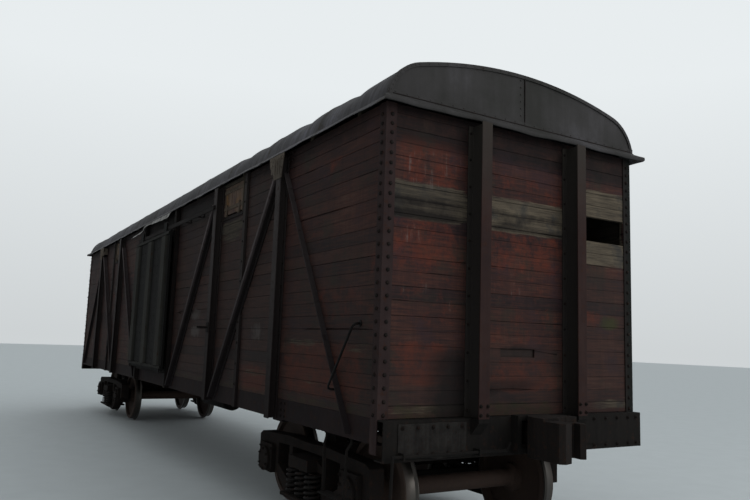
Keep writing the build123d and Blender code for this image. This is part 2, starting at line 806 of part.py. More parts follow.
def make_couplers():
    """Claw coupler: shank, head with a large and a small tooth, and the draft gear behind."""
    x = coupler_reach
    top = coupler_height + head_half_height
    claw = prism_xy([(x + px, py) for px, py in claw_outline], coupler_height - head_half_height, top)
    for x0, x1, y0, y1, height in claw_steps:
        claw -= block(x + x0, x + x1, y0, y1, coupler_height + height, top + 1)
    shank = block(yoke_end_x - 1, x + claw_outline[0][0] + 5, -shank_half_width, shank_half_width,
                  coupler_height - shank_half_height, coupler_height + shank_half_height)
    gear = block(yoke_start_x, yoke_end_x, -centre_sill_gap / 2, centre_sill_gap / 2,
                 coupler_height - gear_below_axis, coupler_height + gear_above_axis)
    coupler = claw + shank + gear
    carrier_x = end_sill_face + carrier_inset
    carrier = block(carrier_x, carrier_x + carrier_length, -striker_half_width, striker_half_width,
                    striker_bottom_z, coupler_height - shank_half_height)
    save("coupler_front", coupler)
    save("coupler_rear", turned(coupler))
    save("coupler_carriers", carrier, turned(carrier))


lever_over_sill_foot = 50.0
lever_z = end_sill_bottom_z + lever_over_sill_foot
lever_stand_off = 55.0
lever_radius = 12.0
lever_rise = 60.0
lever_from_side = 60.0
lever_handle_drop = 330.0
lever_bracket_half = 25.0


def make_uncoupling_levers():
    """Bent bar along the end sill with a drop handle at the corner."""
    x = end_sill_face + lever_stand_off
    y = -half_width + lever_from_side
    bar = bent_rod([(x, -striker_half_width - 90, lever_z + lever_rise),
                    (x, -striker_half_width - 130, lever_z), (x, y, lever_z),
                    (x + 12, y - 18, lever_z - lever_handle_drop)], lever_radius)
    for bracket_y in (y + 90, -striker_half_width - 420):
        bar += block(end_sill_face, x + 22, bracket_y - 8, bracket_y + 8,
                     lever_z - lever_bracket_half, lever_z + lever_bracket_half)
    save("uncoupling_levers", bar, turned(bar))


step_from_end = (430.0, 860.0)
step_drop = 480.0
step_rod_radius = 11.0


def make_foot_steps():
    """Stirrup under the sill near a corner: two bars bent under a flat tread."""
    x0 = half_length - step_from_end[1]
    x1 = half_length - step_from_end[0]
    y = -wall_face_y + 30
    z = sill_bottom_z
    tread_z = sill_bottom_z - step_drop
    step = bent_rod([(x0, y, z), (x0, y, z - 40), (x0 + 20, y - 30, z - 100), (x0 + 40, y - 30, tread_z)],
                    step_rod_radius)
    step += bent_rod([(x1, y, z), (x1, y, z - 40), (x1 - 20, y - 30, z - 100), (x1 - 40, y - 30, tread_z)],
                     step_rod_radius)
    step += block(x0 + 10, x1 - 10, y - 75, y + 25, tread_z - 12, tread_z)
    save("foot_steps", step, turned(step))


grab_radius = 9.0
grab_plate_half_width = 22.0
grab_plate_half_height = 40.0
grab_plate_thickness = 8.0

# Distance from the body's end, stand-off from the wall, height over the sill
grab_bends = (
    (280.0, 0.0, 705.0), (280.0, 70.0, 705.0), (410.0, 105.0, 650.0),
    (655.0, 108.0, 340.0), (745.0, 72.0, 220.0), (745.0, 0.0, 220.0),
)


def make_grab_irons():
    """Handhold on the side near the step, bent out of true."""
    face = -wall_face_y
    bar = bent_rod([(half_length - from_end, face - stand_off, sill_top_z + height)
                    for from_end, stand_off, height in grab_bends], grab_radius)
    from_end, stand_off, height = grab_bends[0]
    x = half_length - from_end
    z = sill_top_z + height
    bar += block(x - grab_plate_half_width, x + grab_plate_half_width, face - grab_plate_thickness, face,
                 z - grab_plate_half_height, z + grab_plate_half_height)
    save("grab_irons", bar, turned(bar))


# Brake gear under the floor

bearer_bottom_z = sill_top_z - bearer_depth
cylinder_radius = 178.0
cylinder_length = 500.0
cylinder_y = 620.0
reservoir_radius = 150.0
reservoir_length = 1060.0
reservoir_y = -640.0
hanger_drop = 14.0


def make_brake_cylinder():
    """Horizontal cylinder hung from a bearer by a saddle, with its push rod."""
    x = -bearer_stations[0]
    y = cylinder_y
    z = bearer_bottom_z - hanger_drop - cylinder_radius
    x0 = x - cylinder_length / 2
    x1 = x + cylinder_length / 2
    cylinder = rod((x0, y, z), (x1, y, z), cylinder_radius)
    cylinder += rod((x0 - 20, y, z), (x0, y, z), cylinder_radius + 20)
    cylinder += rod((x1, y, z), (x1 + 70, y, z), cylinder_radius * 0.65)
    cylinder += rod((brake_lever_x + brake_lever_width / 2, y, z), (x0 - 20, y, z), 28)
    cylinder += block(x - 40, x + 40, y - 120, y + 120, z, bearer_bottom_z)
    save("brake_cylinder", cylinder)


def make_air_reservoir():
    """Air tank hung under two bearers by saddles."""
    y = reservoir_y
    z = bearer_bottom_z - hanger_drop - reservoir_radius
    middle = (bearer_stations[0] + bearer_stations[1]) / 2
    x0 = middle - reservoir_length / 2
    x1 = middle + reservoir_length / 2
    tank = rod((x0, y, z), (x1, y, z), reservoir_radius)
    tank += rod((x0 - 30, y, z), (x1 + 30, y, z), reservoir_radius * 0.7)
    for x in bearer_stations[:2]:
        tank += block(x - 20, x + 20, y - 90, y + 90, z, bearer_bottom_z)
    save("air_reservoir", tank)


rigging_rod_radius = 14.0
brake_lever_x = -1120.0
brake_lever_width = 60.0
tie_lever_x = 480.0
tie_lever_far_y = 420.0
lever_near_y = -260.0
lever_end_margin = 80.0
tie_rod_y = 300.0
pull_rod_end_x = 3600.0
lever_half_thickness = 10.0
hanger_half_height = 26.0
hanger_half_width = 20.0
hanger_stations = (-3560.0, -2300.0, brake_lever_x, tie_lever_x, 2000.0, 3560.0)


def make_brake_rigging():
    """Cross levers and pull rods, hung under the centre sill."""
    z = centre_sill_bottom_z - hanger_half_height
    half = brake_lever_width / 2
    gear = block(brake_lever_x - half, brake_lever_x + half, lever_near_y, cylinder_y + lever_end_margin,
                 z - lever_half_thickness, z + lever_half_thickness)
    gear += block(tie_lever_x - half, tie_lever_x + half, lever_near_y, tie_lever_far_y,
                  z - lever_half_thickness, z + lever_half_thickness)
    gear += rod((brake_lever_x, tie_rod_y, z), (tie_lever_x, tie_rod_y, z), rigging_rod_radius)
    gear += rod((-pull_rod_end_x, 0, z), (brake_lever_x, 0, z), rigging_rod_radius)
    gear += rod((tie_lever_x, 0, z), (pull_rod_end_x, 0, z), rigging_rod_radius)
    for x in hanger_stations:
        gear += block(x - hanger_half_width, x + hanger_half_width, -centre_sill_y - hanger_half_width,
                      centre_sill_y + hanger_half_width, z - hanger_half_height, z + hanger_half_height)
    save("brake_rigging", gear)


cock_length = 80.0
cock_radius = 30.0
hose_bore_radius = 17.0
hose_bore_depth = 40.0


def make_train_pipe():
    """Air pipe from end to end, with a cock at each end, bored for its hose."""
    reach = end_sill_face + train_pipe_reach
    pipe = train_pipe_line(train_pipe_radius)
    for side in (-1, 1):
        elbow = (side * reach, train_pipe_y, train_pipe_z)
        mouth = (side * (reach + cock_length), train_pipe_y, train_pipe_z)
        pipe += rod(elbow, mouth, cock_radius)
        pipe += rod(elbow, (side * reach, train_pipe_y, train_pipe_z + 60), 14)
        pipe -= rod((side * (reach + cock_length - hose_bore_depth), train_pipe_y, train_pipe_z),
                    (side * (reach + cock_length + 1), train_pipe_y, train_pipe_z), hose_bore_radius)
    save("train_pipe", pipe)


# Bogies

spring_seat_z = 270.0
bolster_end_z = 540.0
bogie_frame_half_thickness = 75.0
box_half_width = 165.0
box_half_height = 160.0
box_lower_height = 130.0
box_inner_half = 112.0
box_outer_half = 120.0
box_cover_radius = 128.0
box_cover_depth = 30.0
frame_beyond_jaw = 116.0
frame_half_length = wheelbase / 2 + box_half_width + frame_beyond_jaw
frame_top_z = 790.0
window_half_width = 330.0
spring_seat_half_y = 190.0


def side_frame():
    """Cast side frame: top chord, two jaws over the axle boxes and a sprung window in the middle."""
    jaw = wheelbase / 2
    jaw_in = jaw - box_half_width
    jaw_out = jaw + box_half_width
    top = axle_z + box_half_height
    half = [(0, spring_seat_z - 95), (window_half_width + 50, spring_seat_z - 95),
            (window_half_width + 140, spring_seat_z - 60),
            (jaw_in - 70, axle_z - 125), (jaw_in, axle_z - 125), (jaw_in, top), (jaw_out, top),
            (jaw_out, axle_z - 60), (frame_half_length, axle_z - 30), (frame_half_length, top + 70),
            (frame_half_length - 70, top + 105), (window_half_width + 90, frame_top_z + 12), (0, frame_top_z)]
    outline = half + [(-x, z) for x, z in reversed(half[1:-1])]
    y = journal_spacing / 2
    t = bogie_frame_half_thickness
    frame = prism_xz(outline, y - t, y + t)
    frame -= block(-window_half_width, window_half_width, y - t - 1, y + t + 1,
                   spring_seat_z, frame_top_z - 85)
    for side in (-1, 1):
        corners = [(window_half_width + 85, spring_seat_z + 85), (jaw_in - 75, axle_z - 20),
                   (jaw_in - 75, frame_top_z - 95), (window_half_width + 85, frame_top_z - 85)]
        frame -= prism_xz([(side * px, pz) for px, pz in corners], y - t - 1, y + t + 1)
    frame += block(-window_half_width - 20, window_half_width + 20,
                   y - spring_seat_half_y, y + spring_seat_half_y, spring_seat_z - 30, spring_seat_z)
    return frame


spring_radius = 88.0
spring_wire = 26.0
spring_turns = 4
spring_pitch_x = 205.0
spring_pitch_y = 195.0


def spring():
    """Coil spring as flat rings on a core."""
    height = bolster_end_z - spring_seat_z
    coil = Cylinder(spring_radius - spring_wire, height, align=(Align.CENTER, Align.CENTER, Align.MIN))
    step = height / (spring_turns + 1)
    for i in range(1, spring_turns + 1):
        coil += Pos(0, 0, step * i) * Cylinder(spring_radius, spring_wire)
    return coil


bolster_half_x = 215.0
bolster_end_reach = 170.0
bolster_end_height = 110.0
bolster_neck_inset = 160.0
bolster_neck_height = 130.0
bolster_flat_inset = 250.0
wedge_clearance = 4.0
wedge_half_y = 70.0
wedge_height = 60.0
bearing_half_x = 100.0
bearing_half_y = 60.0
bowl_rim = 40.0
bowl_clearance = 3.0


def bolster():
    """Cast bolster across the bogie, with the pivot bowl, side bearings and friction wedges."""
    y = journal_spacing / 2
    end_y = y + bolster_end_reach
    neck_y = y - bolster_neck_inset
    flat_y = y - bolster_flat_inset
    end_top_z = bolster_end_z + bolster_end_height
    neck_z = bolster_end_z + bolster_neck_height
    half = [(end_y, bolster_end_z), (end_y, end_top_z), (neck_y, neck_z), (flat_y, bolster_top_z)]
    beam = prism_yz(half + [(-py, pz) for py, pz in reversed(half)], -bolster_half_x, bolster_half_x)
    wedge_x = window_half_width - wedge_clearance
    wedge_z = bolster_end_z + wedge_height
    wedge = [(-wedge_x, bolster_end_z), (wedge_x, bolster_end_z), (wedge_x, wedge_z),
             (bolster_half_x, end_top_z - 2), (-bolster_half_x, end_top_z - 2), (-wedge_x, wedge_z)]
    for side in (-1, 1):
        beam += prism_xz(wedge, side * y - wedge_half_y, side * y + wedge_half_y)
        beam += block(-bearing_half_x, bearing_half_x, side * side_bearing_y - bearing_half_y,
                      side * side_bearing_y + bearing_half_y, bolster_top_z - 1, side_bearing_z)
    bowl_base = bolster_top_z - 1
    bowl_top = pivot_plate_z + pivot_plate_depth - wedge_clearance
    bowl = Cylinder(pivot_plate_radius + bowl_rim, bowl_top - bowl_base)
    beam += Pos(0, 0, (bowl_base + bowl_top) / 2) * bowl
    beam -= Pos(0, 0, pivot_plate_z + 50) * Cylinder(pivot_plate_radius + bowl_clearance, 100)
    return beam


box_inner_y = journal_spacing / 2 - box_inner_half


def axle_box():
    """Roller bearing box with a round front cover, bored for the journal."""
    y0 = box_inner_y
    y1 = journal_spacing / 2 + box_outer_half
    x = wheelbase / 2
    inset = 2.0
    box = block(x - box_half_width + inset, x + box_half_width - inset, y0, y1,
                axle_z - box_lower_height, axle_z + box_half_height)
    box += rod((x, y1, axle_z), (x, y1 + box_cover_depth, axle_z), box_cover_radius)
    end_y = journal_end_y() + 4
    return box - rod((x, y0 - 1, axle_z), (x, end_y, axle_z), journal_radius + running_clearance)


def journal_end_y():
    return journal_spacing / 2 + journal_length / 2


brake_gap = 10.0
shoe_thickness = 50.0


def brake_beam():
    """Beam across the bogie with a shoe against each wheel, hung from the side frames."""
    x = wheelbase / 2
    inner_r = tread_radius + brake_gap
    outer_r = inner_r + shoe_thickness
    y0 = wheel_back_to_back / 2 + 42
    y1 = y0 + 80
    ring = rod((x, y0, axle_z), (x, y1, axle_z), outer_r)
    ring -= rod((x, y0 - 1, axle_z), (x, y1 + 1, axle_z), inner_r)
    keep = block(x - outer_r - 5, x - outer_r + 75, y0 - 1, y1 + 1, axle_z - 200, axle_z + 140)
    shoe = ring & keep
    back = x - outer_r
    beam = block(back - 55, back + 6, -y1, y1, axle_z - 60, axle_z + 10)
    hanger_z = frame_top_z - 160
    inner_face = journal_spacing / 2 - bogie_frame_half_thickness
    hanger = block(back - 40, back, y0 + 20, y1 - 20, axle_z, hanger_z + 25)
    hanger += rod((back - 20, y0 + 30, hanger_z), (back - 20, inner_face, hanger_z), 16)
    half = shoe + hanger
    return beam + half + flipped_y(half)


def make_bogies():
    frame = side_frame()
    coil = spring()
    box = axle_box()
    beam = brake_beam()
    springs = []
    for side in (-1, 1):
        for row in (-0.5, 0.5):
            for column in (-1, 0, 1):
                y = side * journal_spacing / 2 + row * spring_pitch_y
                springs.append(Pos(column * spring_pitch_x, y, spring_seat_z) * coil)
    for name, x in (("front", pivot_spacing / 2), ("rear", -pivot_spacing / 2)):
        place = Pos(x, 0, 0)
        save(f"bogie_side_frames_{name}", place * frame, place * flipped_y(frame))
        save(f"bogie_bolster_{name}", place * bolster())
        save(f"bogie_springs_{name}", *[place * piece for piece in springs])
        save(f"axle_boxes_{name}", *[place * piece for piece in all_corners(box)])
        save(f"brake_beams_{name}", place * beam, place * flipped_x(beam))


hub_radius = 134.0
rim_height = 68.0


def make_wheelsets():
    """Axle and two wheels in one, turned about the axle."""
    back = wheel_back_to_back / 2
    front = back + wheel_width
    seat_r = axle_radius + 14
    web_r0 = hub_radius + 6
    web_r1 = tread_radius - rim_height
    profile = [(0, 0), (axle_radius, 0), (axle_radius, back - 60), (seat_r, back - 30),
               (hub_radius, back - 12), (web_r0, back + 34), (web_r1, back + 52), (web_r1 + 8, back),
               (tread_radius + 12, back), (tread_radius + flange_depth, back + 13),
               (tread_radius + flange_depth, back + 19),
               (tread_radius + 4, back + 34), (tread_radius, back + 60), (tread_radius - 4, front - 10),
               (tread_radius - 12, front), (web_r1 + 4, front), (web_r1 - 6, back + 84),
               (web_r0 + 6, back + 64), (hub_radius, front + 16), (seat_r, front + 20),
               (seat_r, box_inner_y - 26), (journal_radius, box_inner_y - 12),
               (journal_radius, journal_end_y()), (0, journal_end_y())]
    face = make_face(Polyline([(r, y, 0) for r, y in profile], close=True))
    half = revolve(face, axis=Axis.Y)
    whole = half + flipped_y(half)
    stations = (pivot_spacing / 2 + wheelbase / 2, pivot_spacing / 2 - wheelbase / 2,
                -pivot_spacing / 2 + wheelbase / 2, -pivot_spacing / 2 - wheelbase / 2)
    for number, x in enumerate(stations, start=1):
        save(f"wheelset_{number}", Pos(x, 0, axle_z) * whole)


make_floor()
make_centre_sill()
make_side_sills()
make_end_sills()
make_crossmembers()
make_pivot_plates()
make_side_walls()
make_end_walls()
make_corner_angles()
make_side_posts()
make_side_braces()
make_end_posts()
make_door_frames()
make_door_tracks()
make_door_guides()
make_doors()
make_hatches()
make_roof()
make_roof_bows()
make_domes()
make_cant_rails()
make_couplers()
make_uncoupling_levers()
make_foot_steps()
make_grab_irons()
make_brake_cylinder()
make_air_reservoir()
make_brake_rigging()
make_train_pipe()
make_bogies()
make_wheelsets()
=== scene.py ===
import bpy
import bmesh
import math
import numpy as np
from mathutils import Matrix, Vector


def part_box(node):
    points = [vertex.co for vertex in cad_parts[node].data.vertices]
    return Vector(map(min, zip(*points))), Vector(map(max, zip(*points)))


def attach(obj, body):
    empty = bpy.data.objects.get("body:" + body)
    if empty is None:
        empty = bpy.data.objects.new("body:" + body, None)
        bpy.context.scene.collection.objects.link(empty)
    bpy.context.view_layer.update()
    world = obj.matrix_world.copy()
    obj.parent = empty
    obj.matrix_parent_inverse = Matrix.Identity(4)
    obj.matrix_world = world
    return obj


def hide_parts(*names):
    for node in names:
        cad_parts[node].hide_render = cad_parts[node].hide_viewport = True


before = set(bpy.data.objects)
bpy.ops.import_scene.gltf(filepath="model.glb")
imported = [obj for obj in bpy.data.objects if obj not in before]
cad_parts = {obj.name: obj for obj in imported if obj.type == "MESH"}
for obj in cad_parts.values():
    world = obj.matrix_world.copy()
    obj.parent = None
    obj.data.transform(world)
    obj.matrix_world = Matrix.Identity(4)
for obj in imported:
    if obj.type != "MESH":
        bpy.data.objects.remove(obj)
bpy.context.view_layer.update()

# Camera. It stands at eye height off the near corner, where the photographer stood, and looks along
# the side towards the end, tipped up a little and out of level by two degrees.
eye = Vector((11.3377, -4.1929, 1.7944))
heading, tip, roll = 2.6010, 0.1320, 0.0342
focal_length_px = 692.25
picture_width_px = 750
sensor_mm = 36.0
lens = bpy.data.cameras.new("camera")
lens.sensor_width = sensor_mm
lens.lens = focal_length_px / picture_width_px * sensor_mm
lens.clip_end = 400.0
ahead = Vector((math.cos(heading) * math.cos(tip), math.sin(heading) * math.cos(tip), math.sin(tip)))
level = ahead.cross(Vector((0, 0, 1))).normalized()
over = level.cross(ahead)
across = math.cos(roll) * level + math.sin(roll) * over
upward = math.cos(roll) * over - math.sin(roll) * level
camera = bpy.data.objects.new("camera", lens)
camera.matrix_world = Matrix.Translation(eye) @ Matrix((across, upward, -ahead)).transposed().to_4x4()
bpy.context.scene.collection.objects.link(camera)
bpy.context.scene.camera = camera


# Underframe. Riveted and welded steel channels and box bolsters, once red-brown and now a flat dark
# brown under brake dust and road dirt, with rust where water stands on the flanges.
def srgb(code):
    """Hex colour as a linear RGBA."""
    parts = [int(code[i:i + 2], 16) / 255 for i in (0, 2, 4)]
    return [p / 12.92 if p <= 0.04045 else ((p + 0.055) / 1.055) ** 2.4 for p in parts] + [1.0]


def add(tree, kind, inputs=None, out=0, stops=(), node=None, **settings):
    """Adds a shader node with its settings, values and links, and returns one of its outputs. A string
    is a hex colour. A mix between inputs 6 and 7 is one of colours."""
    node = node or tree.nodes.new("ShaderNode" + kind)
    inputs = inputs or {}
    if kind == "Mix" and 7 in inputs:
        node.data_type = "RGBA"
        out = 2
    for key, value in settings.items():
        setattr(node, key, value)
    for key, value in inputs.items():
        if isinstance(value, bpy.types.NodeSocket):
            tree.links.new(value, node.inputs[key])
        else:
            node.inputs[key].default_value = srgb(value) if isinstance(value, str) else value
    for place, (position, code) in enumerate(stops):
        ramp = node.color_ramp.elements
        stop = ramp[place] if place < 2 else ramp.new(position)
        stop.position = position
        stop.color = srgb(code)
    return node.outputs[out] if node.outputs else None


def new_finish(name):
    """A material with its node tree and surface shader."""
    made = bpy.data.materials.new(name)
    made.use_nodes = True
    return made, made.node_tree, made.node_tree.nodes["Principled BSDF"]


BLACK, WHITE = "000000", "ffffff"


def aged_steel(name, paint, worn, rust, rust_share=0.45, roughness=0.7, scale_mm=60.0, bump_mm=0.6,
               painted_hollow_shade=None, grime_and_shade=None):
    """Painted rolled steel gone matt: paint in two tones run down by rain, rust in patches of scale_mm
    and fine grit. The first optional tuple paints shade into hollows: an axis, two distances from the middle
    and a colour; the painted shade lies nearer than the first, is gone at the second, and is mostly left off
    faces that look upwards, where the sky lights them. The second is an axis, two places along it and a
    colour that covers fully at the first and is gone at the second; on the corner angles it is painted shade."""
    made, tree, shader = new_finish(name)
    place = add(tree, "TexCoord", out=3)
    rain_place = add(tree, "Mapping", {0: place, 3: (1.0, 1.0, 0.07)})
    per_patch = 1000.0 / scale_mm
    cloud, patch, rain, grit = (
        add(tree, "TexNoise", {"Vector": at, "Scale": scale, "Detail": detail, "Roughness": rough})
        for at, scale, detail, rough in ((place, per_patch / 6, 5.0, 0.6), (place, per_patch, 8.0, 0.68),
                                         (rain_place, 26.0, 5.0, 0.6), (place, 320.0, 3.0, 0.5)))
    tone = add(tree, "Mix", {0: 0.45, 2: cloud, 3: rain})
    tone = add(tree, "ValToRGB", {"Fac": tone}, stops=[(0.38, BLACK), (0.62, WHITE)])
    paint_tone = add(tree, "Mix", {0: tone, 6: paint, 7: worn})
    edge = 0.64 - 0.2 * rust_share
    rusty = add(tree, "ValToRGB", {"Fac": patch}, stops=[(edge, BLACK), (edge + 0.09, WHITE)])
    rust_tone = add(tree, "Mix", {0: grit, 6: rust, 7: "231814"})
    colour = add(tree, "Mix", {0: rusty, 6: paint_tone, 7: rust_tone})
    # Painted shade: darker in the hollow between the flanges, mostly kept off faces that look upwards, which
    # the sky lights.
    if painted_hollow_shade:
        axis, dark, light, soot = painted_hollow_shade
        reach = add(tree, "Math", {0: add(tree, "SeparateXYZ", {0: place}, out=axis)}, operation="ABSOLUTE")
        unshaded_share = add(tree, "MapRange", {0: reach, 1: dark, 2: light})
        faces_up = add(tree, "SeparateXYZ", {0: place.node.outputs[1]}, out=2)
        sky_lit_share = add(tree, "MapRange", {0: faces_up, 1: 0.3, 2: 0.7, 4: 0.8})
        unshaded_share = add(tree, "Math", {0: unshaded_share, 1: sky_lit_share}, operation="MAXIMUM")
        colour = add(tree, "Mix", {0: unshaded_share, 6: soot, 7: colour})
    # A ramp of colour along one axis: on the corner angles it is painted shade, elsewhere it only tints one
    # end.
    if grime_and_shade:
        axis, thick, gone, ramp_tint = grime_and_shade
        along = add(tree, "SeparateXYZ", {0: place}, out=axis)
        ramp_clear = add(tree, "MapRange", {0: along, 1: thick, 2: gone})
        colour = add(tree, "Mix", {0: ramp_clear, 6: ramp_tint, 7: colour})
    relief = add(tree, "Mix", {0: 0.35, 2: patch, 3: grit})
    bump = add(tree, "Bump", {"Height": relief, "Distance": bump_mm / 1000, "Strength": 0.8})
    matt = add(tree, "MapRange", {0: patch, 3: roughness - 0.12, 4: roughness + 0.2})
    add(tree, "", {"Base Color": colour, "Roughness": matt, "Normal": bump, "Specular IOR Level": 0.12},
        node=shader)
    return made


def dress(names, finish, edge_mm=0.0):
    """Gives CAD nodes a finish, with their sharp edges eased by edge_mm."""
    for name in names:
        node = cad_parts[name]
        node.data.materials.clear()
        node.data.materials.append(finish)
        if edge_mm:
            weld = node.modifiers.new("joined", "WELD")
            weld.merge_threshold = 0.0002
            ease = node.modifiers.new("eased edges", "BEVEL")
            ease.width = edge_mm / 1000
            ease.segments = 2
            ease.limit_method = "ANGLE"
            ease.angle_limit = math.radians(35)
            ease.harden_normals = True


# Flat dark brown that hides its own edges: dirt has taken the shine, and rust shows only in patches.
underframe_steel = aged_steel("dirty_underframe_paint", "141211", "1c1917", "2b201b", 0.35, 0.85)
dress(["centre_sill", "end_sills", "crossmembers", "cant_rails", "brake_cylinder", "air_reservoir",
       "brake_rigging", "train_pipe", "uncoupling_levers", "foot_steps", "grab_irons",
       "brake_beams_front", "brake_beams_rear"], underframe_steel, 2.0)


def solid(name, points, faces, body, finish, smooth=False):
    """A closed mesh piece that rides on a body, with its outside facing out."""
    mesh = bpy.data.meshes.new(name)
    mesh.from_pydata([tuple(p) for p in points], [], [tuple(int(i) for i in f) for f in faces])
    shell = bmesh.new()
    shell.from_mesh(mesh)
    bmesh.ops.recalc_face_normals(shell, faces=shell.faces)
    shell.to_mesh(mesh)
    shell.free()
    if smooth:
        mesh.polygons.foreach_set("use_smooth", [True] * len(mesh.polygons))
    mesh.materials.append(finish)
    made = bpy.data.objects.new(name, mesh)
    bpy.context.scene.collection.objects.link(made)
    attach(made, body)
    return made


def sweep(points, faces, rings):
    """Adds rings of equal count to a piece, with faces between them and over both ends."""
    first, around = len(points), len(rings[0])
    points += [p for ring in rings for p in ring]
    last = len(points) - around
    for a in range(first, last, around):
        b = a + around
        faces += [(a + j, a + (j + 1) % around, b + (j + 1) % around, b + j) for j in range(around)]
    faces.append(tuple(range(first + around - 1, first - 1, -1)))
    faces.append(tuple(range(last, last + around)))


def heads(name, spots, shape, sides, body, finish):
    """Turned heads, all of one shape, each at a spot and standing out its way."""
    points, faces = [], []
    angles = [2 * math.pi * i / sides for i in range(sides)]
    for spot, way in spots:
        way = Vector(way).normalized()
        side = way.orthogonal().normalized()
        up = way.cross(side)
        sweep(points, faces, [[Vector(spot) + way * height + (side * math.cos(a) + up * math.sin(a)) * radius
                               for a in angles] for radius, height in shape])
    solid(name, points, faces, body, finish, sides > 6)


def rivet(radius, height):
    """Button head."""
    return [(radius, -0.002), (radius, 0.2 * height), (0.84 * radius, 0.62 * height),
            (0.5 * radius, 0.92 * height), (0.15 * radius, height)]


def nut(radius, height):
    """Washer, nut and the end of its bolt."""
    return [(1.4 * radius, -0.002), (1.4 * radius, 0.003), (radius, 0.003), (radius, 0.85 * height),
            (0.85 * radius, height), (0.52 * radius, height), (0.5 * radius, 1.5 * height),
            (0.35 * radius, 1.6 * height)]


# Bare forged heads, rusted black-brown.
fixing_steel = aged_steel("rusted_rivet_heads", "171413", "211b19", "33251e", 0.5, 0.75, 25.0)
board_face_y = 1.4355
sill_spots = [((x + dx, side * board_face_y, z), (0, side, 0)) for x in (-5.0, 5.0) for side in (-1, 1)
              for dx in (-0.16, -0.08, 0.08, 0.16) for z in (1.065, 1.12, 1.185)]
heads("sill_rivets", sill_spots, rivet(0.013, 0.009), 8, "body", fixing_steel)

# Worn grey primer shows in blotches on the cover plate bolted over the beam at the near corner.
plate_finish = aged_steel("blotched_primer_plate", "171514", "2a2826", "241d1a", 0.5, 0.8, 16.0, 0.4)
beam_face_x, plate_face_x = 6.935, 6.943
plate_y0, plate_y1, plate_z0, plate_z1 = -1.30, -0.66, 0.935, 1.195
points, faces, beam_spots = [], [], []
for way in (1, -1):
    rings = []
    for share in np.linspace(0, 1, 17):
        wave = 0.006 * math.sin(7.0 * share) + 0.004 * math.sin(19.0 * share)
        y, low, high = plate_y0 + (plate_y1 - plate_y0) * share, plate_z0 + wave, plate_z1 - 0.4 * wave
        rings.append([(way * x, way * y, z) for x, z in (
            (beam_face_x - 0.001, low), (plate_face_x - 0.002, low), (plate_face_x, low + 0.003),
            (plate_face_x, high - 0.003), (plate_face_x - 0.002, high), (beam_face_x - 0.001, high))])
    sweep(points, faces, rings)
    beam_spots += [((way * plate_face_x, way * y, z), (way, 0, 0))
                   for y in (-1.26, -1.12, -0.98, -0.84, -0.70) for z in (0.965, 1.165)]
    beam_spots += [((way * beam_face_x, way * y, z), (way, 0, 0))
                   for y in (0.42, 0.5, 0.8, 0.95, 1.1, 1.25, 1.36) for z in (0.95, 1.18)]
solid("beam_plates", points, faces, "body", plate_finish)
heads("beam_bolts", beam_spots, nut(0.014, 0.014), 6, "body", fixing_steel)


# Running gear. Cast steel side frames and bolsters on rolled wheels: the castings are rough and
# rust-brown, the treads are the only bright metal on the wagon.
cast_steel = aged_steel("rusty_cast_steel", "181514", "221d1b", "33251d", 0.5, 0.88, 35.0, 1.6)
dress(["bogie_side_frames_front", "bogie_side_frames_rear", "bogie_bolster_front", "bogie_bolster_rear",
       "axle_boxes_front", "axle_boxes_rear", "pivot_plates", "coupler_front", "coupler_rear",
       "coupler_carriers"], cast_steel, 6.0)

pivots = (("front", 5.0), ("rear", -5.0))
half_base, axle_z = 0.925, 0.503


def wheel_finish():
    """Rolled steel: rust-brown plate and hub, and a grey tread worn smooth."""
    made, tree, shader = new_finish("rolled_wheel_steel")
    place = add(tree, "TexCoord", out=3)
    split = add(tree, "SeparateXYZ", {0: place})
    dx = split
    for middle in (pivots[0][1], half_base):
        dx = add(tree, "Math", {0: dx}, operation="ABSOLUTE")
        dx = add(tree, "Math", {0: dx, 1: middle}, operation="SUBTRACT")
    dz = add(tree, "Math", {0: split.node.outputs[2], 1: axle_z}, operation="SUBTRACT")
    square = add(tree, "Math", {0: dz, 1: dz}, operation="MULTIPLY")
    radius = add(tree, "Math", {0: dx, 1: dx, 2: square}, operation="MULTIPLY_ADD")
    radius = add(tree, "Math", {0: radius}, operation="SQRT")
    worn = add(tree, "MapRange", {0: radius, 1: 0.468, 2: 0.474})
    cloud = add(tree, "TexNoise", {"Vector": place, "Scale": 18.0, "Detail": 7.0, "Roughness": 0.65})
    rust = add(tree, "Mix", {0: cloud, 6: "2b211c", 7: "422e23"})
    colour = add(tree, "Mix", {0: worn, 6: rust, 7: "55514d"})
    matt = add(tree, "MapRange", {0: worn, 3: 0.85, 4: 0.36})
    bump = add(tree, "Bump", {"Height": cloud, "Distance": 0.0008, "Strength": 0.5})
    add(tree, "", {"Base Color": colour, "Roughness": matt, "Metallic": worn, "Normal": bump}, node=shader)
    return made


wheel_steel = wheel_finish()
dress([f"wheelset_{i}" for i in range(1, 5)], wheel_steel)

# Six bolts hold each bearing box's cover, and four its cap.
cover_y, cover_ring = 1.168, 0.103
box_spots = [(cover_ring * math.cos(turn), cover_y, cover_ring * math.sin(turn))
             for turn in (math.radians(30 + 60 * i) for i in range(6))]
box_spots += [(dx, cover_y - 0.03, dz) for dx in (-0.145, 0.145) for dz in (-0.1, 0.12)]
for end, pivot in pivots:
    spots = [((pivot + base + dx, side * y, axle_z + dz), (0, side, 0))
             for base in (-half_base, half_base) for side in (-1, 1) for dx, y, dz in box_spots]
    heads(f"box_bolts_{end}", spots, nut(0.014, 0.013), 6, "bogie_" + end, fixing_steel)

# Springs. Each nest is an outer and an inner coil of round bar, wound hot, with ends ground flat.
# Under the rust they keep a little of the bar's smooth black scale.
spring_steel = aged_steel("scaled_spring_bar", "1a1817", "252120", "38271f", 0.45, 0.62, 30.0, 0.3)
seat_z, bolster_z = 0.270, 0.540
nest_y, nest_row, nest_pitch = 1.018, 0.0975, 0.205


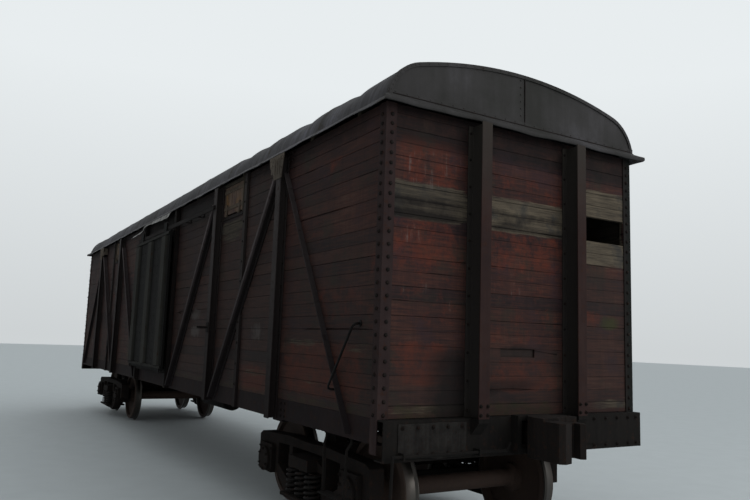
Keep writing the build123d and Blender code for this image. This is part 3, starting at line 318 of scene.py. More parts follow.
def coil_rings(cx, cy, radius, bar, turns, hand):
    """Rings along a coil whose pitch closes up at both ends."""
    count = int(turns * 16) + 1
    low, high = seat_z + bar, bolster_z - bar
    rings = []
    for i in range(count):
        f = i / (count - 1)
        eased = f * f * (3 - 2 * f) * 0.35 + f * 0.65
        a = hand * 2 * math.pi * turns * f
        out = Vector((math.cos(a), math.sin(a), 0))
        centre = Vector((cx, cy, low + (high - low) * eased)) + out * radius
        thick = bar * (0.55 if i in (0, count - 1) else 1.0)
        rings.append([centre + out * thick * math.cos(t) + Vector((0, 0, thick * math.sin(t)))
                      for t in (2 * math.pi * k / 8 for k in range(8))])
    return rings


for end, pivot in pivots:
    points, faces = [], []
    for y in (-nest_y - nest_row, -nest_y + nest_row, nest_y - nest_row, nest_y + nest_row):
        for x in (pivot - nest_pitch, pivot, pivot + nest_pitch):
            # radius of coil, radius of bar, turns and hand, of the outer and the inner coil
            sweep(points, faces, coil_rings(x, y, 0.072, 0.0145, 5.5, 1))
            sweep(points, faces, coil_rings(x, y, 0.038, 0.0095, 7.5, -1))
    made = solid(f"coil_springs_{end}", points, faces, "bogie_" + end, spring_steel, True)
    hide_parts(f"bogie_springs_{end}")


# Wooden body boards. Pine boards 115 mm wide and 50 mm thick, laid flat edge to edge and bolted to
# the frame. Oxide paint has faded, flaked off along the grain and been patched with bare new boards.
plank_width, lowest_plank = 0.115, 0.095
seam_gap, seam_depth, board_thick, board_ease = 0.0014, 0.016, 0.050, 0.0015
wall_low, wall_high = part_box("wall_right_front")
sill_z, wall_top = wall_low.z, wall_high.z
seams = [sill_z] + [sill_z + lowest_plank + plank_width * i for i in range(21)] + [wall_top]


def wander(rng, count, size, knot=5):
    """A smooth random run of count values, up to about size."""
    knots = rng.normal(0, size / 2, count // knot + 3)
    return np.interp(np.arange(count) / knot, np.arange(len(knots)), knots)


def lay_board(start, end, low, high, thick, rng, chips, station_pitch):
    """Rings of one board: distance along, depth behind the face, height. Its worn front edges leave a
    groove along each seam, and behind that it meets its neighbours. An edge is one height or two."""
    count = max(4, int((end - start) / station_pitch) + 1)
    along = np.linspace(start, end, count)
    along[1:-1] += rng.uniform(-0.25, 0.25, count - 2) * station_pitch
    low, high = (np.interp(along, (start, end), np.broadcast_to(edge, 2)) for edge in (low, high))
    bottom = low + seam_gap * rng.choice((0.1, 0.2, 0.5, 1.6)) + np.abs(wander(rng, count, 0.0007))
    top = high - seam_gap * rng.choice((0.1, 0.2, 0.5, 1.6)) - np.abs(wander(rng, count, 0.0007))
    stand = 0.001 + np.abs(wander(rng, count, 0.003, 9)) + rng.uniform(0, 0.0022)
    cup = rng.uniform(-0.0009, 0.0016)
    for _ in range(rng.poisson(0.5)):
        spot = rng.uniform(start, end)
        bite = rng.uniform(0.003, 0.009) * np.exp(-((along - spot) / rng.uniform(0.05, 0.16)) ** 2)
        if rng.random() < 0.5:
            bottom = bottom + bite
        else:
            top = top - bite
    for from_s, to_s, seam_z, depth in chips:
        inside = np.clip(np.minimum(along - from_s, to_s - along) / 0.05 + 1, 0, 1)
        inside = inside * rng.uniform(0.75, 1, count)
        if abs(seam_z - low[0]) < 0.02:
            bottom = bottom + depth * inside
        if abs(seam_z - high[0]) < 0.02:
            top = top - depth * inside
    ring = [(stand, bottom + board_ease), (stand - cup, (bottom + top) / 2), (stand, top - board_ease),
            (stand + board_ease, top), (seam_depth, top), (seam_depth, high), (thick - 0.006, high),
            (thick, high - 0.003), (thick, low + 0.003), (thick - 0.006, low), (seam_depth, low),
            (seam_depth, bottom), (stand + board_ease, bottom)]
    rings = [np.stack(np.broadcast_arrays(along, depth, height), 1) for depth, height in ring]
    return np.array(rings).transpose(1, 0, 2)


def patches_of(shift, **kinds):
    """Patches of wear from tables by kind, shifted along the wall: from, to, foot, head and strength."""
    return [(kind, s0 + shift, s1 + shift, z0, z1, strength)
            for kind, rows in kinds.items() for s0, s1, z0, z1, strength in rows]


def patch_strength(kind, patches, along, height):
    """How strongly patches of one kind cover points, soft at their rims."""
    cover = np.zeros(len(along))
    for what, s0, s1, z0, z1, strength in patches:
        if what == kind:
            rim_s = min(0.3, (s1 - s0) / 2)
            rim_z = min(0.16 if kind == "soot" else 0.05, (z1 - z0) / 2)
            in_s = np.clip(np.minimum(along - s0, s1 - along) / rim_s + 0.3, 0, 1)
            in_z = np.clip(np.minimum(height - z0, z1 - height) / rim_z + 0.5, 0, 1)
            cover = np.maximum(cover, strength * in_s * in_z)
    return cover


def stray_patches(seed, start, end, count):
    """Patches of wear for a wall that isn't seen, of the same kinds and sizes."""
    rng = np.random.default_rng(seed)
    kinds = ["bare", "bare", "fresh", "fresh", "fresh", "soot", "moss", "chalk", "soot"]
    made = []
    for _ in range(count):
        kind = kinds[rng.integers(len(kinds))]
        s = rng.uniform(start, end - 0.3)
        row = rng.integers(1, 20)
        rows = 1 if kind in ("bare", "chalk") else rng.integers(1, 4)
        long = rng.uniform(0.25, 1.1)
        top = min(seams[row + rows], wall_top)
        strength = rng.uniform(0.5, 0.9) * (0.42 if kind == "bare" else 1.0)
        made.append((kind, s, min(s + long, end), seams[row], top, strength))
    return made


def write_fields(made, fields):
    """Stores values at the points of a piece for its finish to read."""
    kinds = {1: ("FLOAT", "value"), 3: ("FLOAT_VECTOR", "vector"), 4: ("FLOAT_COLOR", "color")}
    for key, values in fields.items():
        kind, member = kinds[np.size(values[0])]
        field = made.data.attributes.new(key, kind, "POINT")
        field.data.foreach_set(member, np.array(values, np.float32).ravel())


def board_wall(name, rows, to_world, patches, chips, seed, body, finish, thick=board_thick,
               station_pitch=0.11):
    """A piece made of boards. rows gives, for each row, its stretches: from, to, low, high. Each point
    keeps how it lies in its board, how it has worn, and where it is painted darker as shade."""
    rng = np.random.default_rng(seed)
    points, faces, lay, wear, mark, tone = [], [], [], [], [], []
    for row, stretches in enumerate(rows):
        shade = rng.normal(0, 1)
        for start, end, low, high in stretches:
            rings = lay_board(start, end, low, high, thick, rng, chips, station_pitch)
            flat = rings.reshape(-1, 3)
            sweep(points, faces, [[to_world(*p) for p in ring] for ring in rings])
            offset = rng.uniform(0, 50)
            foot, head = np.mean(low), np.mean(high)
            lay += [(s + offset, (z - foot) / (head - foot), d + row * 0.37) for s, d, z in flat]
            bare, fresh, soot, moss, chalk, dull = (
                patch_strength(kind, patches, flat[:, 0], flat[:, 2])
                for kind in ("bare", "fresh", "soot", "moss", "chalk", "dull"))
            inside = (flat[:, 1] > thick - 0.007).astype(float)
            wear += list(zip(bare, fresh, soot, moss))
            mark += list(zip(chalk, dull, inside, np.ones(len(flat))))
            tone += [shade + rng.normal(0, 0.5)] * len(flat)
    made = solid(name, points, faces, body, finish)
    write_fields(made, {"lay": lay, "wear": wear, "mark": mark, "tone": tone})
    return made


def boards_finish(name, paint_stops, wood_low, wood_high, loss_bias, fresh_low="3c201d", fresh_high="783926"):
    """Oxide paint on weathered pine: grain along each board, paint flaking in streaks, dirt at the seams."""
    made, tree, shader = new_finish(name)
    lay = add(tree, "Attribute", attribute_name="lay", out=1)
    tone = add(tree, "Attribute", attribute_name="tone", out=2)
    wear, mark = (add(tree, "Attribute", attribute_name=key) for key in ("wear", "mark"))
    moss = wear.node.outputs[3]
    bare, fresh, soot = add(tree, "SeparateColor", {0: wear}).node.outputs
    chalk, dull, inside = add(tree, "SeparateColor", {0: mark}).node.outputs
    place = add(tree, "TexCoord", out=3)

    # Grain: lines 2 mm apart across the board and about 300 mm long, drawn at twice that to show.
    grain_lay = add(tree, "Mapping", {0: lay, 3: (1.6, 22.0, 22.0)})
    streak_lay = add(tree, "Mapping", {0: lay, 3: (2.6, 5.0, 5.0)})
    rain_place = add(tree, "Mapping", {0: place, 3: (1.0, 1.0, 0.09)})
    grain, streak, cloud, spot, rain, blotch = (
        add(tree, "TexNoise", {"Vector": at, "Scale": scale, "Detail": detail, "Roughness": rough,
                               "Distortion": bent})
        for at, scale, detail, rough, bent in (
            (grain_lay, 2.2, 6.0, 0.62, 0.35), (streak_lay, 1.5, 8.0, 0.66, 0.0),
            (place, 1.6, 7.0, 0.62, 0.0), (place, 9.0, 9.0, 0.72, 0.0),
            (rain_place, 34.0, 4.0, 0.65, 0.0), (place, 3.4, 6.0, 0.6, 0.0)))
    weathered = add(tree, "Mix", {0: 0.55, 2: grain, 3: streak})
    wood_fac = add(tree, "ValToRGB", {"Fac": weathered}, stops=[(0.38, BLACK), (0.60, WHITE)])
    wood = add(tree, "Mix", {0: wood_fac, 6: wood_low, 7: wood_high})
    bluish = add(tree, "MapRange", {0: blotch, 1: 0.46, 2: 0.36, 4: 0.6})
    wood = add(tree, "Mix", {0: bluish, 6: wood, 7: "2e3032"})

    # Paint: each board has its own shade, and rain has run the colour down over all of them. It has
    # gone olive in places and purple in others, and is fresher where it was sheltered.
    shade = add(tree, "Math", {0: tone, 1: 0.065, 2: 0.5}, operation="MULTIPLY_ADD")
    for share, noise in ((0.45, cloud), (0.44, streak), (0.13, rain)):
        shade = add(tree, "Mix", {0: share, 2: shade, 3: noise})
    paint = add(tree, "ValToRGB", {"Fac": shade}, stops=paint_stops)
    for low, high, most, tint in ((0.54, 0.68, 0.55, "302d26"), (0.44, 0.32, 0.5, "33262c")):
        turned = add(tree, "MapRange", {0: blotch, 1: low, 2: high, 4: most})
        paint = add(tree, "Mix", {0: turned, 6: paint, 7: tint})
    ragged = add(tree, "Math", {0: spot, 1: -0.5}, operation="ADD")
    fresh = add(tree, "Math", {0: ragged, 1: 2.6, 2: fresh}, operation="MULTIPLY_ADD")
    fresh = add(tree, "MapRange", {0: fresh, 1: 0.5, 2: 1.25, 4: 0.9})
    bright = add(tree, "Mix", {0: streak, 6: fresh_low, 7: fresh_high})
    paint = add(tree, "Mix", {0: fresh, 6: paint, 7: bright})

    # Paint is lost in streaks, and nearly all of it on the replaced boards and on the inside.
    loss = streak
    for more in (bare, loss_bias, inside):
        loss = add(tree, "Math", {0: loss, 1: more}, operation="ADD")
    loss = add(tree, "Math", {0: grain, 1: 0.35, 2: loss}, operation="MULTIPLY_ADD")
    lost = add(tree, "MapRange", {0: loss, 1: 0.84, 2: 1.0})
    colour = add(tree, "Mix", {0: lost, 6: paint, 7: wood})

    # Over that lie chalky drips, moss, a dull film, soot with painted shade, and painted shade over the
    # inside.
    drip = add(tree, "Math", {0: rain, 1: -0.5}, operation="ADD")
    chalk = add(tree, "Math", {0: drip, 1: 1.8, 2: chalk}, operation="MULTIPLY_ADD")
    for cover, edge, gone, full, most, tint in (
            (chalk, 1.3, 0.6, 1.0, 0.65, "66605d"), (moss, 1.6, 0.5, 1.1, 0.7, "3c421f"),
            (dull, 0.0, 0.0, 1.0, 0.75, "2a2725"), (soot, 1.5, 0.3, 1.1, 0.85, "1a1717"),
            # the inside faces are painted dark as shade
            (inside, 0.0, 0.0, 1.0, 0.7, "1d1a18")):
        cover = add(tree, "Math", {0: ragged, 1: edge, 2: cover}, operation="MULTIPLY_ADD")
        cover = add(tree, "MapRange", {0: cover, 1: gone, 2: full, 4: most})
        colour = add(tree, "Mix", {0: cover, 6: colour, 7: tint})

    # Dirt gathers along the seams, up to 8 mm wide and thin in places.
    height = add(tree, "SeparateXYZ", {0: lay}, out=1)
    from_middle = add(tree, "Math", {0: height, 1: 0.5}, operation="SUBTRACT")
    dirty = add(tree, "Math", {0: from_middle}, operation="ABSOLUTE")
    for noise, share in ((streak, 0.14), (blotch, 0.20)):
        dirty = add(tree, "Math", {0: noise, 1: share, 2: dirty}, operation="MULTIPLY_ADD")
    dirty = add(tree, "MapRange", {0: dirty, 1: 0.62, 2: 0.71, 4: 0.5})
    colour = add(tree, "Mix", {0: dirty, 6: colour, 7: "1c1818"})

    relief = add(tree, "Math", {0: lost, 1: -0.6, 2: grain}, operation="MULTIPLY_ADD")
    bump = add(tree, "Bump", {"Height": relief, "Distance": 0.0012, "Strength": 0.7})
    matt = add(tree, "MapRange", {0: lost, 3: 0.78, 4: 0.94})
    add(tree, "", {"Base Color": colour, "Roughness": matt, "Normal": bump, "Specular IOR Level": 0.12},
        node=shader)
    return made


# Dull red-brown with no gloss left: greyer where rain has washed it, redder where a board is sheltered.
oxide_stops = [(0.36, "1f1a1a"), (0.44, "2c2021"), (0.50, "3a2623"), (0.56, "472d27"), (0.65, "533d35")]
oxide_boards = boards_finish("flaking_oxide_paint_on_pine", oxide_stops, "302c28", "665c4e", -0.10)

# Side walls. The boards run from the doorway's lining to the corner angle, cut out for the hatch. The
# right one, seen in full, has its patches placed as they are: from and to along X, then heights.
doorway_edge, corner_x, face_y = wall_low.x, wall_high.x, -wall_low.y
hatch_low, hatch_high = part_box("hatch_right_front")
hatch_gap = 0.006
hatch_x0, hatch_x1 = hatch_low.x - hatch_gap, hatch_high.x + hatch_gap
hatch_z1 = hatch_high.z + hatch_gap
hatch_row = 18
side_rows = [[(doorway_edge, corner_x, low, high)] for low, high in zip(seams[:hatch_row], seams[1:])]
side_rows += [[(doorway_edge, hatch_x0, low, high), (hatch_x1, corner_x, low, high)]
              for low, high in zip(seams[hatch_row:-1], seams[hatch_row + 1:])]
side_rows[-1].append((hatch_x0, hatch_x1, hatch_z1, wall_top))
# The soot at the top of the wall, under the eave, is soot with painted shade.
right_side_patches = patches_of(
    0.0,
    bare=((2.90, 3.76, 3.045, 3.17, 0.9), (2.95, 3.74, 2.93, 3.04, 0.5), (2.95, 3.75, 3.64, 3.72, 1.0),
          (5.0, 5.9, 1.745, 1.79, 0.42), (6.2, 6.8, 1.70, 1.78, 0.38), (5.1, 6.1, 1.39, 1.43, 0.45),
          (3.9, 4.8, 1.40, 1.44, 0.45)),
    chalk=((4.1, 4.6, 1.76, 1.95, 0.95), (1.85, 2.35, 2.0, 2.15, 1.3), (1.85, 2.4, 1.78, 1.92, 1.3)),
    fresh=((3.85, 4.75, 1.22, 1.50, 1.3), (5.0, 6.7, 1.30, 1.78, 1.0), (5.5, 6.7, 1.98, 2.28, 0.6),
           (5.8, 6.15, 3.28, 3.44, 0.9), (2.1, 2.9, 2.35, 2.62, 0.6), (5.3, 6.8, 2.6, 3.3, 0.32),
           (3.2, 4.8, 2.0, 2.9, 0.3), (6.62, 6.82, 2.33, 2.52, 1.0), (6.6, 6.82, 1.94, 2.12, 0.9),
           (5.0, 5.9, 1.42, 1.66, 1.1)),
    soot=((0.9, 2.95, 3.34, 3.72, 1.1), (3.80, 6.7, 3.52, 3.72, 0.7), (5.0, 6.2, 2.55, 2.7, 0.5)),
    dull=((4.9, 7.0, 1.2, 1.9, 0.65), (4.9, 7.0, 1.9, 2.7, 0.5), (0.9, 4.9, 1.1, 3.8, 0.7),
          (4.5, 7.0, 1.1, 3.8, 0.2)),
    moss=((1.0, 6.8, 1.2, 1.30, 0.6),))
right_side_chips = ((1.35, 2.65, 2.12, 0.028), (5.3, 6.2, 2.925, 0.006), (5.6, 6.6, 1.89, 0.007))
side_ends = (("right_front", -1, 1), ("right_rear", -1, -1), ("left_front", 1, 1), ("left_rear", 1, -1))
for seed, (place, side, end) in enumerate(side_ends, 11):
    patches, chips = right_side_patches, right_side_chips
    if place != "right_front":
        # The soot band under the eave is soot with painted shade.
        patches = stray_patches(seed + 100, doorway_edge, corner_x, 26) + patches_of(
            0.0, soot=((0.9, 6.7, 3.52, 3.72, 0.8),), moss=((1.0, 6.7, 1.2, 1.30, 0.6),),
            dull=((0.9, 6.9, 1.2, 3.7, 0.3 if end > 0 else 0.4),))
        chips = ()
    made = board_wall("boards_" + place, side_rows, lambda s, d, z: (end * s, side * (face_y - d), z),
                      patches, chips, seed, "body", oxide_boards)
    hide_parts("wall_" + place)

# End walls. The same boards across the ends, behind the joists. At the front two boards are gone
# beside the far joist, and two pale unpainted ones were let in level with them.
end_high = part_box("end_wall_front")[1]
end_face_x, end_half = end_high.x, end_high.y
near_corner_y = -1.435
joist_y, joist_half = 0.555, 0.054
whole_rows = [[(-end_half, end_half, low, high)] for low, high in zip(seams[:-1], seams[1:])]
front_rows = list(whole_rows)
for row in (14, 15):
    low, high = seams[row], seams[row + 1]
    front_rows[row] = [(-end_half, joist_y + joist_half, low, high), (end_half - 0.04, end_half, low, high)]
# a slot cut in one board, and the crack that runs from it: along the end from the near corner
slot_from, slot_to, slot_foot = near_corner_y + 1.21, near_corner_y + 1.60, 1.706
slot_row = 4
low, slot_top = seams[slot_row], seams[slot_row + 1]
crack_end, crack_foot = slot_to + 0.27, 1.732
crack = (slot_top - 0.008, crack_foot)
front_rows[slot_row] = [(-end_half, slot_from, low, slot_top), (slot_from, slot_to, low, slot_foot),
                        (slot_to, crack_end, low, crack), (slot_to, crack_end, crack, slot_top),
                        (crack_end, end_half, low, slot_top)]
# The soot band at the top, under the dome's ledge, is soot with painted shade.
front_patches = patches_of(
    near_corner_y,
    bare=((-0.2, 0.86, 2.79, 3.06, 0.95), (0.86, 2.04, 2.79, 3.06, 0.95), (2.05, 3.1, 3.04, 3.29, 0.8),
          (2.05, 3.1, 2.58, 2.82, 0.62), (2.2, 3.1, 1.24, 1.35, 0.4), (0.0, 0.8, 1.24, 1.33, 0.35)),
    chalk=((0.05, 0.8, 3.02, 3.38, 0.52), (0.0, 0.65, 2.56, 2.76, 0.5), (0.1, 0.8, 2.02, 2.3, 0.42),
           (0.9, 1.9, 2.2, 2.5, 0.36)),
    fresh=((0.05, 0.80, 1.46, 1.82, 1.0), (1.0, 1.95, 1.40, 1.70, 0.75), (0.0, 0.85, 3.03, 3.5, 0.72),
           (0.0, 0.85, 2.40, 2.83, 0.8), (0.85, 2.05, 2.40, 2.82, 0.72), (0.85, 2.05, 3.03, 3.3, 0.5),
           (0.0, 0.85, 1.9, 2.4, 0.45), (0.9, 2.0, 1.8, 2.4, 0.45), (2.1, 2.5, 2.0, 2.14, 1.0)),
    soot=((-0.2, 0.86, 2.775, 2.86, 1.5), (-0.2, 0.86, 2.92, 2.95, 1.3), (0.4, 0.86, 2.86, 2.93, 0.5),
          (1.1, 1.6, 2.82, 2.89, 0.75), (0.86, 2.04, 2.775, 2.83, 0.9), (0.86, 2.04, 2.92, 2.95, 1.0),
          (0.42, 1.0, 1.15, 1.75, 1.2), (-0.2, 3.3, 3.38, 4.10, 1.0), (0.85, 1.3, 1.38, 1.49, 0.9),
          (1.0, 1.7, 1.43, 1.50, 1.0), (1.15, 1.7, 1.72, 1.80, 1.1), (0.9, 2.0, 1.2, 1.32, 0.5)),
    dull=((-0.2, 0.86, 2.79, 3.06, 0.6), (2.0, 3.1, 1.1, 2.5, 0.5), (-0.2, 2.0, 1.1, 1.78, 0.55),
          (-0.2, 2.0, 1.78, 2.25, 0.15)),
    moss=((2.42, 2.72, 1.98, 2.12, 1.3), (0.0, 1.95, 1.2, 1.34, 0.7)))
front_chips = ((near_corner_y + 1.0, near_corner_y + 1.45, 1.43, 0.012),)
# The soot band at the top, under the dome's ledge, is soot with painted shade.
rear_patches = stray_patches(122, -end_half, end_half, 16) + patches_of(
    0.0, soot=((-1.6, 1.6, 3.46, 3.75, 1.0),), moss=((-1.6, 1.6, 1.2, 1.36, 0.8),))
for place, rows, way, patches, chips, seed in (("front", front_rows, 1, front_patches, front_chips, 21),
                                               ("rear", whole_rows, -1, rear_patches, (), 22)):
    made = board_wall("boards_end_" + place, rows, lambda s, d, z: (way * (end_face_x - d), s, z),
                      patches, chips, seed, "body", oxide_boards)
    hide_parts("end_wall_" + place)

# A short grey offcut closes the slot from behind, 20 mm down in it.
offcut_depth, offcut_thick, offcut_lap = 0.020, 0.026, 0.002
offcut_rows = [[(slot_from - offcut_lap, slot_to + offcut_lap, slot_foot - offcut_lap, slot_top)]]
# Its soot is painted shade, for the shade down in the slot.
offcut_patches = patches_of(0.0, dull=((-2.0, 2.0, 1.0, 2.0, 1.0),), bare=((-2.0, 2.0, 1.0, 2.0, 0.15),),
                            soot=((-2.0, 2.0, 1.0, 2.0, 0.35),))
board_wall("slot_offcut", offcut_rows, lambda s, d, z: (end_face_x - offcut_depth - d, s, z), offcut_patches,
           (), 23, "body", oxide_boards, offcut_thick)

# Floor. Thick planks across the wagon, tongued and grooved, spiked to the sills: grey with use on top
# and painted dark underneath as shade.
floor_stops = [(0.3, "2a2622"), (0.5, "39332c"), (0.75, "4a4339")]
floor_boards = boards_finish("worn_floor_planks", floor_stops, "2e2a25", "453e34", -0.05)
floor_low, floor_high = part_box("floor")
plank_count = round((floor_high.x - floor_low.x) / 0.14)
plank_edges = [floor_low.x + (floor_high.x - floor_low.x) / plank_count * i for i in range(plank_count + 1)]
floor_rows = [[(floor_low.y, floor_high.y, x0, x1)] for x0, x1 in zip(plank_edges[:-1], plank_edges[1:])]
made = board_wall("floor_planks", floor_rows, lambda s, d, z: (z, s, floor_high.z - d), [], (), 31, "body",
                  floor_boards, floor_high.z - floor_low.z, 0.4)
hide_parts("floor")

# Timber ribs under the roof sheet, bent over the body and bolted to the cant rails.
old_timber = aged_steel("old_rib_timber", "37322b", "4a4338", "2b2622", 0.3, 0.92)
dress(["roof_bows"], old_timber, 3.0)


# Body frame. Rolled joists, angles and plates, riveted and bolted outside the boards. Brown-grey oxide
# paint is left on the outer faces, and the hollows between the flanges are painted darker as shade.
# Painted shade in the hollow of the web; the paint turns greyer towards the top of the joists.
end_joist_paint = aged_steel("oxide_paint_on_end_joists", "2b1e1d", "362623", "40281f", 0.35, 0.78, 60.0, 0.6,
                             (0, 7.012, 7.024, "2f2b29"), (2, 3.75, 2.8, "37332f"))
dress(["end_posts"], end_joist_paint, 2.5)
# Painted shade in the hollow between the flanges; the posts are also darker towards the bottom.
post_paint = aged_steel("oxide_paint_on_side_posts", "3c3736", "4b4645", "3f2e26", 0.35, 0.80, 60.0, 0.6,
                        (1, 1.500, 1.512, "35302e"), (2, 1.1, 3.7, "211b1b"))
dress(["side_posts"], post_paint, 2.5)
# The corner angles on the left side, at both ends, are painted darker as shade.
angle_paint = aged_steel("oxide_paint_on_angles", "2a1f1f", "352928", "3f2922", 0.4, 0.78, 60.0, 0.6, None,
                         (1, 1.40, 1.20, "161816"))
dress(["corner_angles"], angle_paint, 2.5)
door_gear_paint = aged_steel("sooty_door_gear_paint", "161312", "211c1b", "2f221c", 0.4, 0.82)
dress(["door_frames", "door_tracks", "door_guides"], door_gear_paint, 2.5)
sill_paint = aged_steel("oxide_paint_on_sills", "1a1516", "251b1b", "33231d", 0.4, 0.8, 90.0)
dress(["side_sills"], sill_paint, 2.5)


# Braces. Pressed bars that run from the heads of the posts down to the sill. The outer one of each pair is
# an angle with its leg along the upper side, the other two are Z bars open to the post.
# Painted shade in the hollows of the bars, mostly kept off their upper faces; the bars are also darker
# towards the bottom.
brace_paint = aged_steel("oxide_paint_on_braces", "494242", "5e5555", "3f2e26", 0.35, 0.80, 60.0, 0.6,
                         (1, 1.470, 1.490, "1f1b1a"), (2, 1.1, 3.5, "211c1d"))
corners = [(end, side) for end in (-1, 1) for side in (-1, 1)]
brace_head, brace_foot, brace_root = 3.460, 1.070, 1.427
z_bar = ((-0.032, 0.065), (-0.032, 0.075), (0.005, 0.075), (0.005, 0.010), (0.050, 0.010), (0.050, 0.0),
         (-0.005, 0.0), (-0.005, 0.065))
angle_bar = ((-0.040, 0.0), (-0.040, 0.009), (-0.004, 0.009), (-0.004, 0.052), (0.006, 0.052), (0.006, 0.0))
# places of head and foot along X, the section, and how far aside of that line its bolts stand
braces = ((4.978, 6.450, angle_bar, -0.022), (4.80525, 3.05975, z_bar, 0.026),
          (2.81025, 1.105, z_bar, 0.026))
points, faces = [], []
for end, side in corners:
    for x_head, x_foot, section, _ in braces:
        slant = math.hypot(x_foot - x_head, brace_head - brace_foot) / (brace_head - brace_foot)
        rings = []
        for share in (0.0, 0.25, 0.5, 0.75, 1.0):
            x = x_head + (x_foot - x_head) * share
            z = brace_head + (brace_foot - brace_head) * share
            rings.append([(end * (x + u * slant), side * (brace_root + out), z) for u, out in section])
        sweep(points, faces, rings)
made = solid("brace_bars", points, faces, "body", brace_paint)
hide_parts("side_braces")

# Gusset plates tie the heads of the outer posts and their two braces, and have weathered to pale primer.
primer = aged_steel("pale_primer_on_gussets", "4e4740", "685e54", "3f342c", 0.4, 0.8, 45.0)
gusset_x, gusset_back_y, gusset_face_y = 4.91, 1.5185, 1.5275
gusset_outline = ((-0.085, 3.400), (0.100, 3.400), (0.115, 3.470), (0.150, 3.650), (-0.215, 3.650),
                  (-0.190, 3.545), (-0.120, 3.490))
# packing between the plate and the head of the inner brace: how far out and how high
packing = ((1.500, 3.475), (1.5195, 3.475), (1.5195, 3.64), (1.428, 3.64), (1.428, 3.50), (1.500, 3.50))
points, faces, gusset_spots = [], [], []
for end, side in corners:
    sweep(points, faces, [[(end * (gusset_x + x), side * y, z) for x, z in gusset_outline]
                          for y in (gusset_back_y, gusset_face_y)])
    for x in (gusset_x - 0.055, gusset_x, gusset_x + 0.055):
        sweep(points, faces, [[(end * (x + dx), side * (gusset_back_y + out), z) for dx, out in (
            (-0.014, 0.004), (-0.008, high), (0.008, high), (0.014, 0.004))]
            for z, high in ((3.425, 0.009), (3.450, 0.018), (3.600, 0.018), (3.640, 0.009))])
    sweep(points, faces, [[(end * (gusset_x + x), side * y, z) for y, z in packing] for x in (-0.18, -0.07)])
    gusset_spots += [((end * (gusset_x + dx), side * gusset_face_y, z), (0, side, 0)) for dx, z in (
        (-0.18, 3.62), (-0.13, 3.56), (-0.09, 3.62), (0.09, 3.62), (0.09, 3.52), (0.125, 3.60),
        (-0.08, 3.43), (0.085, 3.43))]
solid("gusset_plates", points, faces, "body", primer)
heads("gusset_rivets", gusset_spots, rivet(0.012, 0.008), 8, "body", primer)

# Rivets close the corner angles over both faces, and carriage bolts hold every board to its joist.
angle_heights = [1.25 + 0.1 * i for i in range(18)] + [3.03, 3.115, 3.195, 3.277, 3.36, 3.44, 3.515, 3.59]
angle_row, angle_edge_x, angle_edge_y, angle_face_x = 0.056, 6.85, 1.435, 6.8505
outer_post_x, inner_post_x, batten_x, lining_x = 4.93, 2.935, 3.83, 0.975
# faces that the bolts stand on: end boards, side posts, plated heads of the posts, battens and linings
end_bolt_x, bolted_y, plated_y, batten_y, lining_y = 6.8525, 1.4375, 1.4475, 1.4575, 1.4875
end_stagger, stagger = 0.035, 0.036
angle_spots, bolt_spots = [], []
for end, side in corners:
    for z in angle_heights:
        angle_spots.append(((end * angle_face_x, side * (angle_edge_y - angle_row), z), (end, 0, 0)))
        angle_spots.append(((end * (angle_edge_x - angle_row), side * board_face_y, z), (0, side, 0)))
    for i in range(21):
        z = 1.275 + plank_width * i
        lean = 1 if i % 2 else -1
        bolt_spots.append(((end * end_bolt_x, side * joist_y + lean * end_stagger, z), (end, 0, 0)))
        stations = [(x + lean * stagger, bolted_y) for x in (outer_post_x, inner_post_x)]
        if i % 2 == 0:
            stations += [(batten_x, batten_y), (lining_x, lining_y)]
        bolt_spots += [((end * x, side * y, z), (0, side, 0)) for x, y in stations]
    bolt_spots += [((end * (outer_post_x + dx), side * plated_y, z), (0, side, 0))
                   for dx in (-0.18, -0.1, 0.1, 0.18) for z in (3.495, 3.575, 3.65)]
    for x_head, x_foot, _, aside in braces:
        run = Vector((x_foot - x_head, 0, brace_foot - brace_head))
        for i in range(1, 15):
            at = Vector((x_head, 0, brace_head)) + run * (i / 15)
            at += Vector((-run.z, 0, run.x)).normalized() * aside
            if abs(at.x - batten_x) > 0.09:
                bolt_spots.append(((end * at.x, side * bolted_y, at.z), (0, side, 0)))
heads("corner_rivets", angle_spots, rivet(0.0165, 0.014), 8, "body", fixing_steel)
heads("board_bolts", bolt_spots, rivet(0.0135, 0.009), 8, "body", fixing_steel)

# Grab irons. A round bar at two opposite corners, its ends forged flat and bolted to the boards. It was
# knocked out of true long ago and hands keep it free of scale.
def bar_rings(path, radius, sides=8):
    """Rings of a round bar along a path."""
    rings = []
    path = [Vector(p) for p in path]
    for i, at in enumerate(path):
        way = (path[min(i + 1, len(path) - 1)] - path[max(i - 1, 0)]).normalized()
        side = way.cross(Vector((0.13, 0.21, 0.97))).normalized()
        up = way.cross(side)
        rings.append([at + (side * math.cos(a) + up * math.sin(a)) * radius
                      for a in (2 * math.pi * k / sides for k in range(sides))])
    return rings


grab_steel = aged_steel("handled_black_bar", "0f0e0e", "191716", "2b1f1a", 0.3, 0.6, 30.0, 0.3)
grab_path = ((6.544, 1.428, 1.938), (6.544, 1.468, 1.934), (6.543, 1.492, 1.922), (6.538, 1.501, 1.902),
             (6.520, 1.503, 1.875), (6.180, 1.503, 1.424), (6.172, 1.497, 1.404), (6.177, 1.478, 1.395),
             (6.188, 1.428, 1.394))
grab_palm = [(0.026, -0.002), (0.026, 0.007), (0.022, 0.009), (0.010, 0.010)]
grab_radius = 0.0105
points, faces, grab_spots = [], [], []
for end in (-1, 1):
    sweep(points, faces, bar_rings([(end * x, -end * y, z) for x, y, z in grab_path], grab_radius, 10))
    grab_spots += [((end * x, -end * brace_root, z), (0, -end, 0))
                   for x, _, z in (grab_path[0], grab_path[-1])]
made = solid("grab_bars", points, faces, "body", grab_steel, True)
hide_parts("grab_irons")
heads("grab_palms", grab_spots, grab_palm, 12, "body", grab_steel)

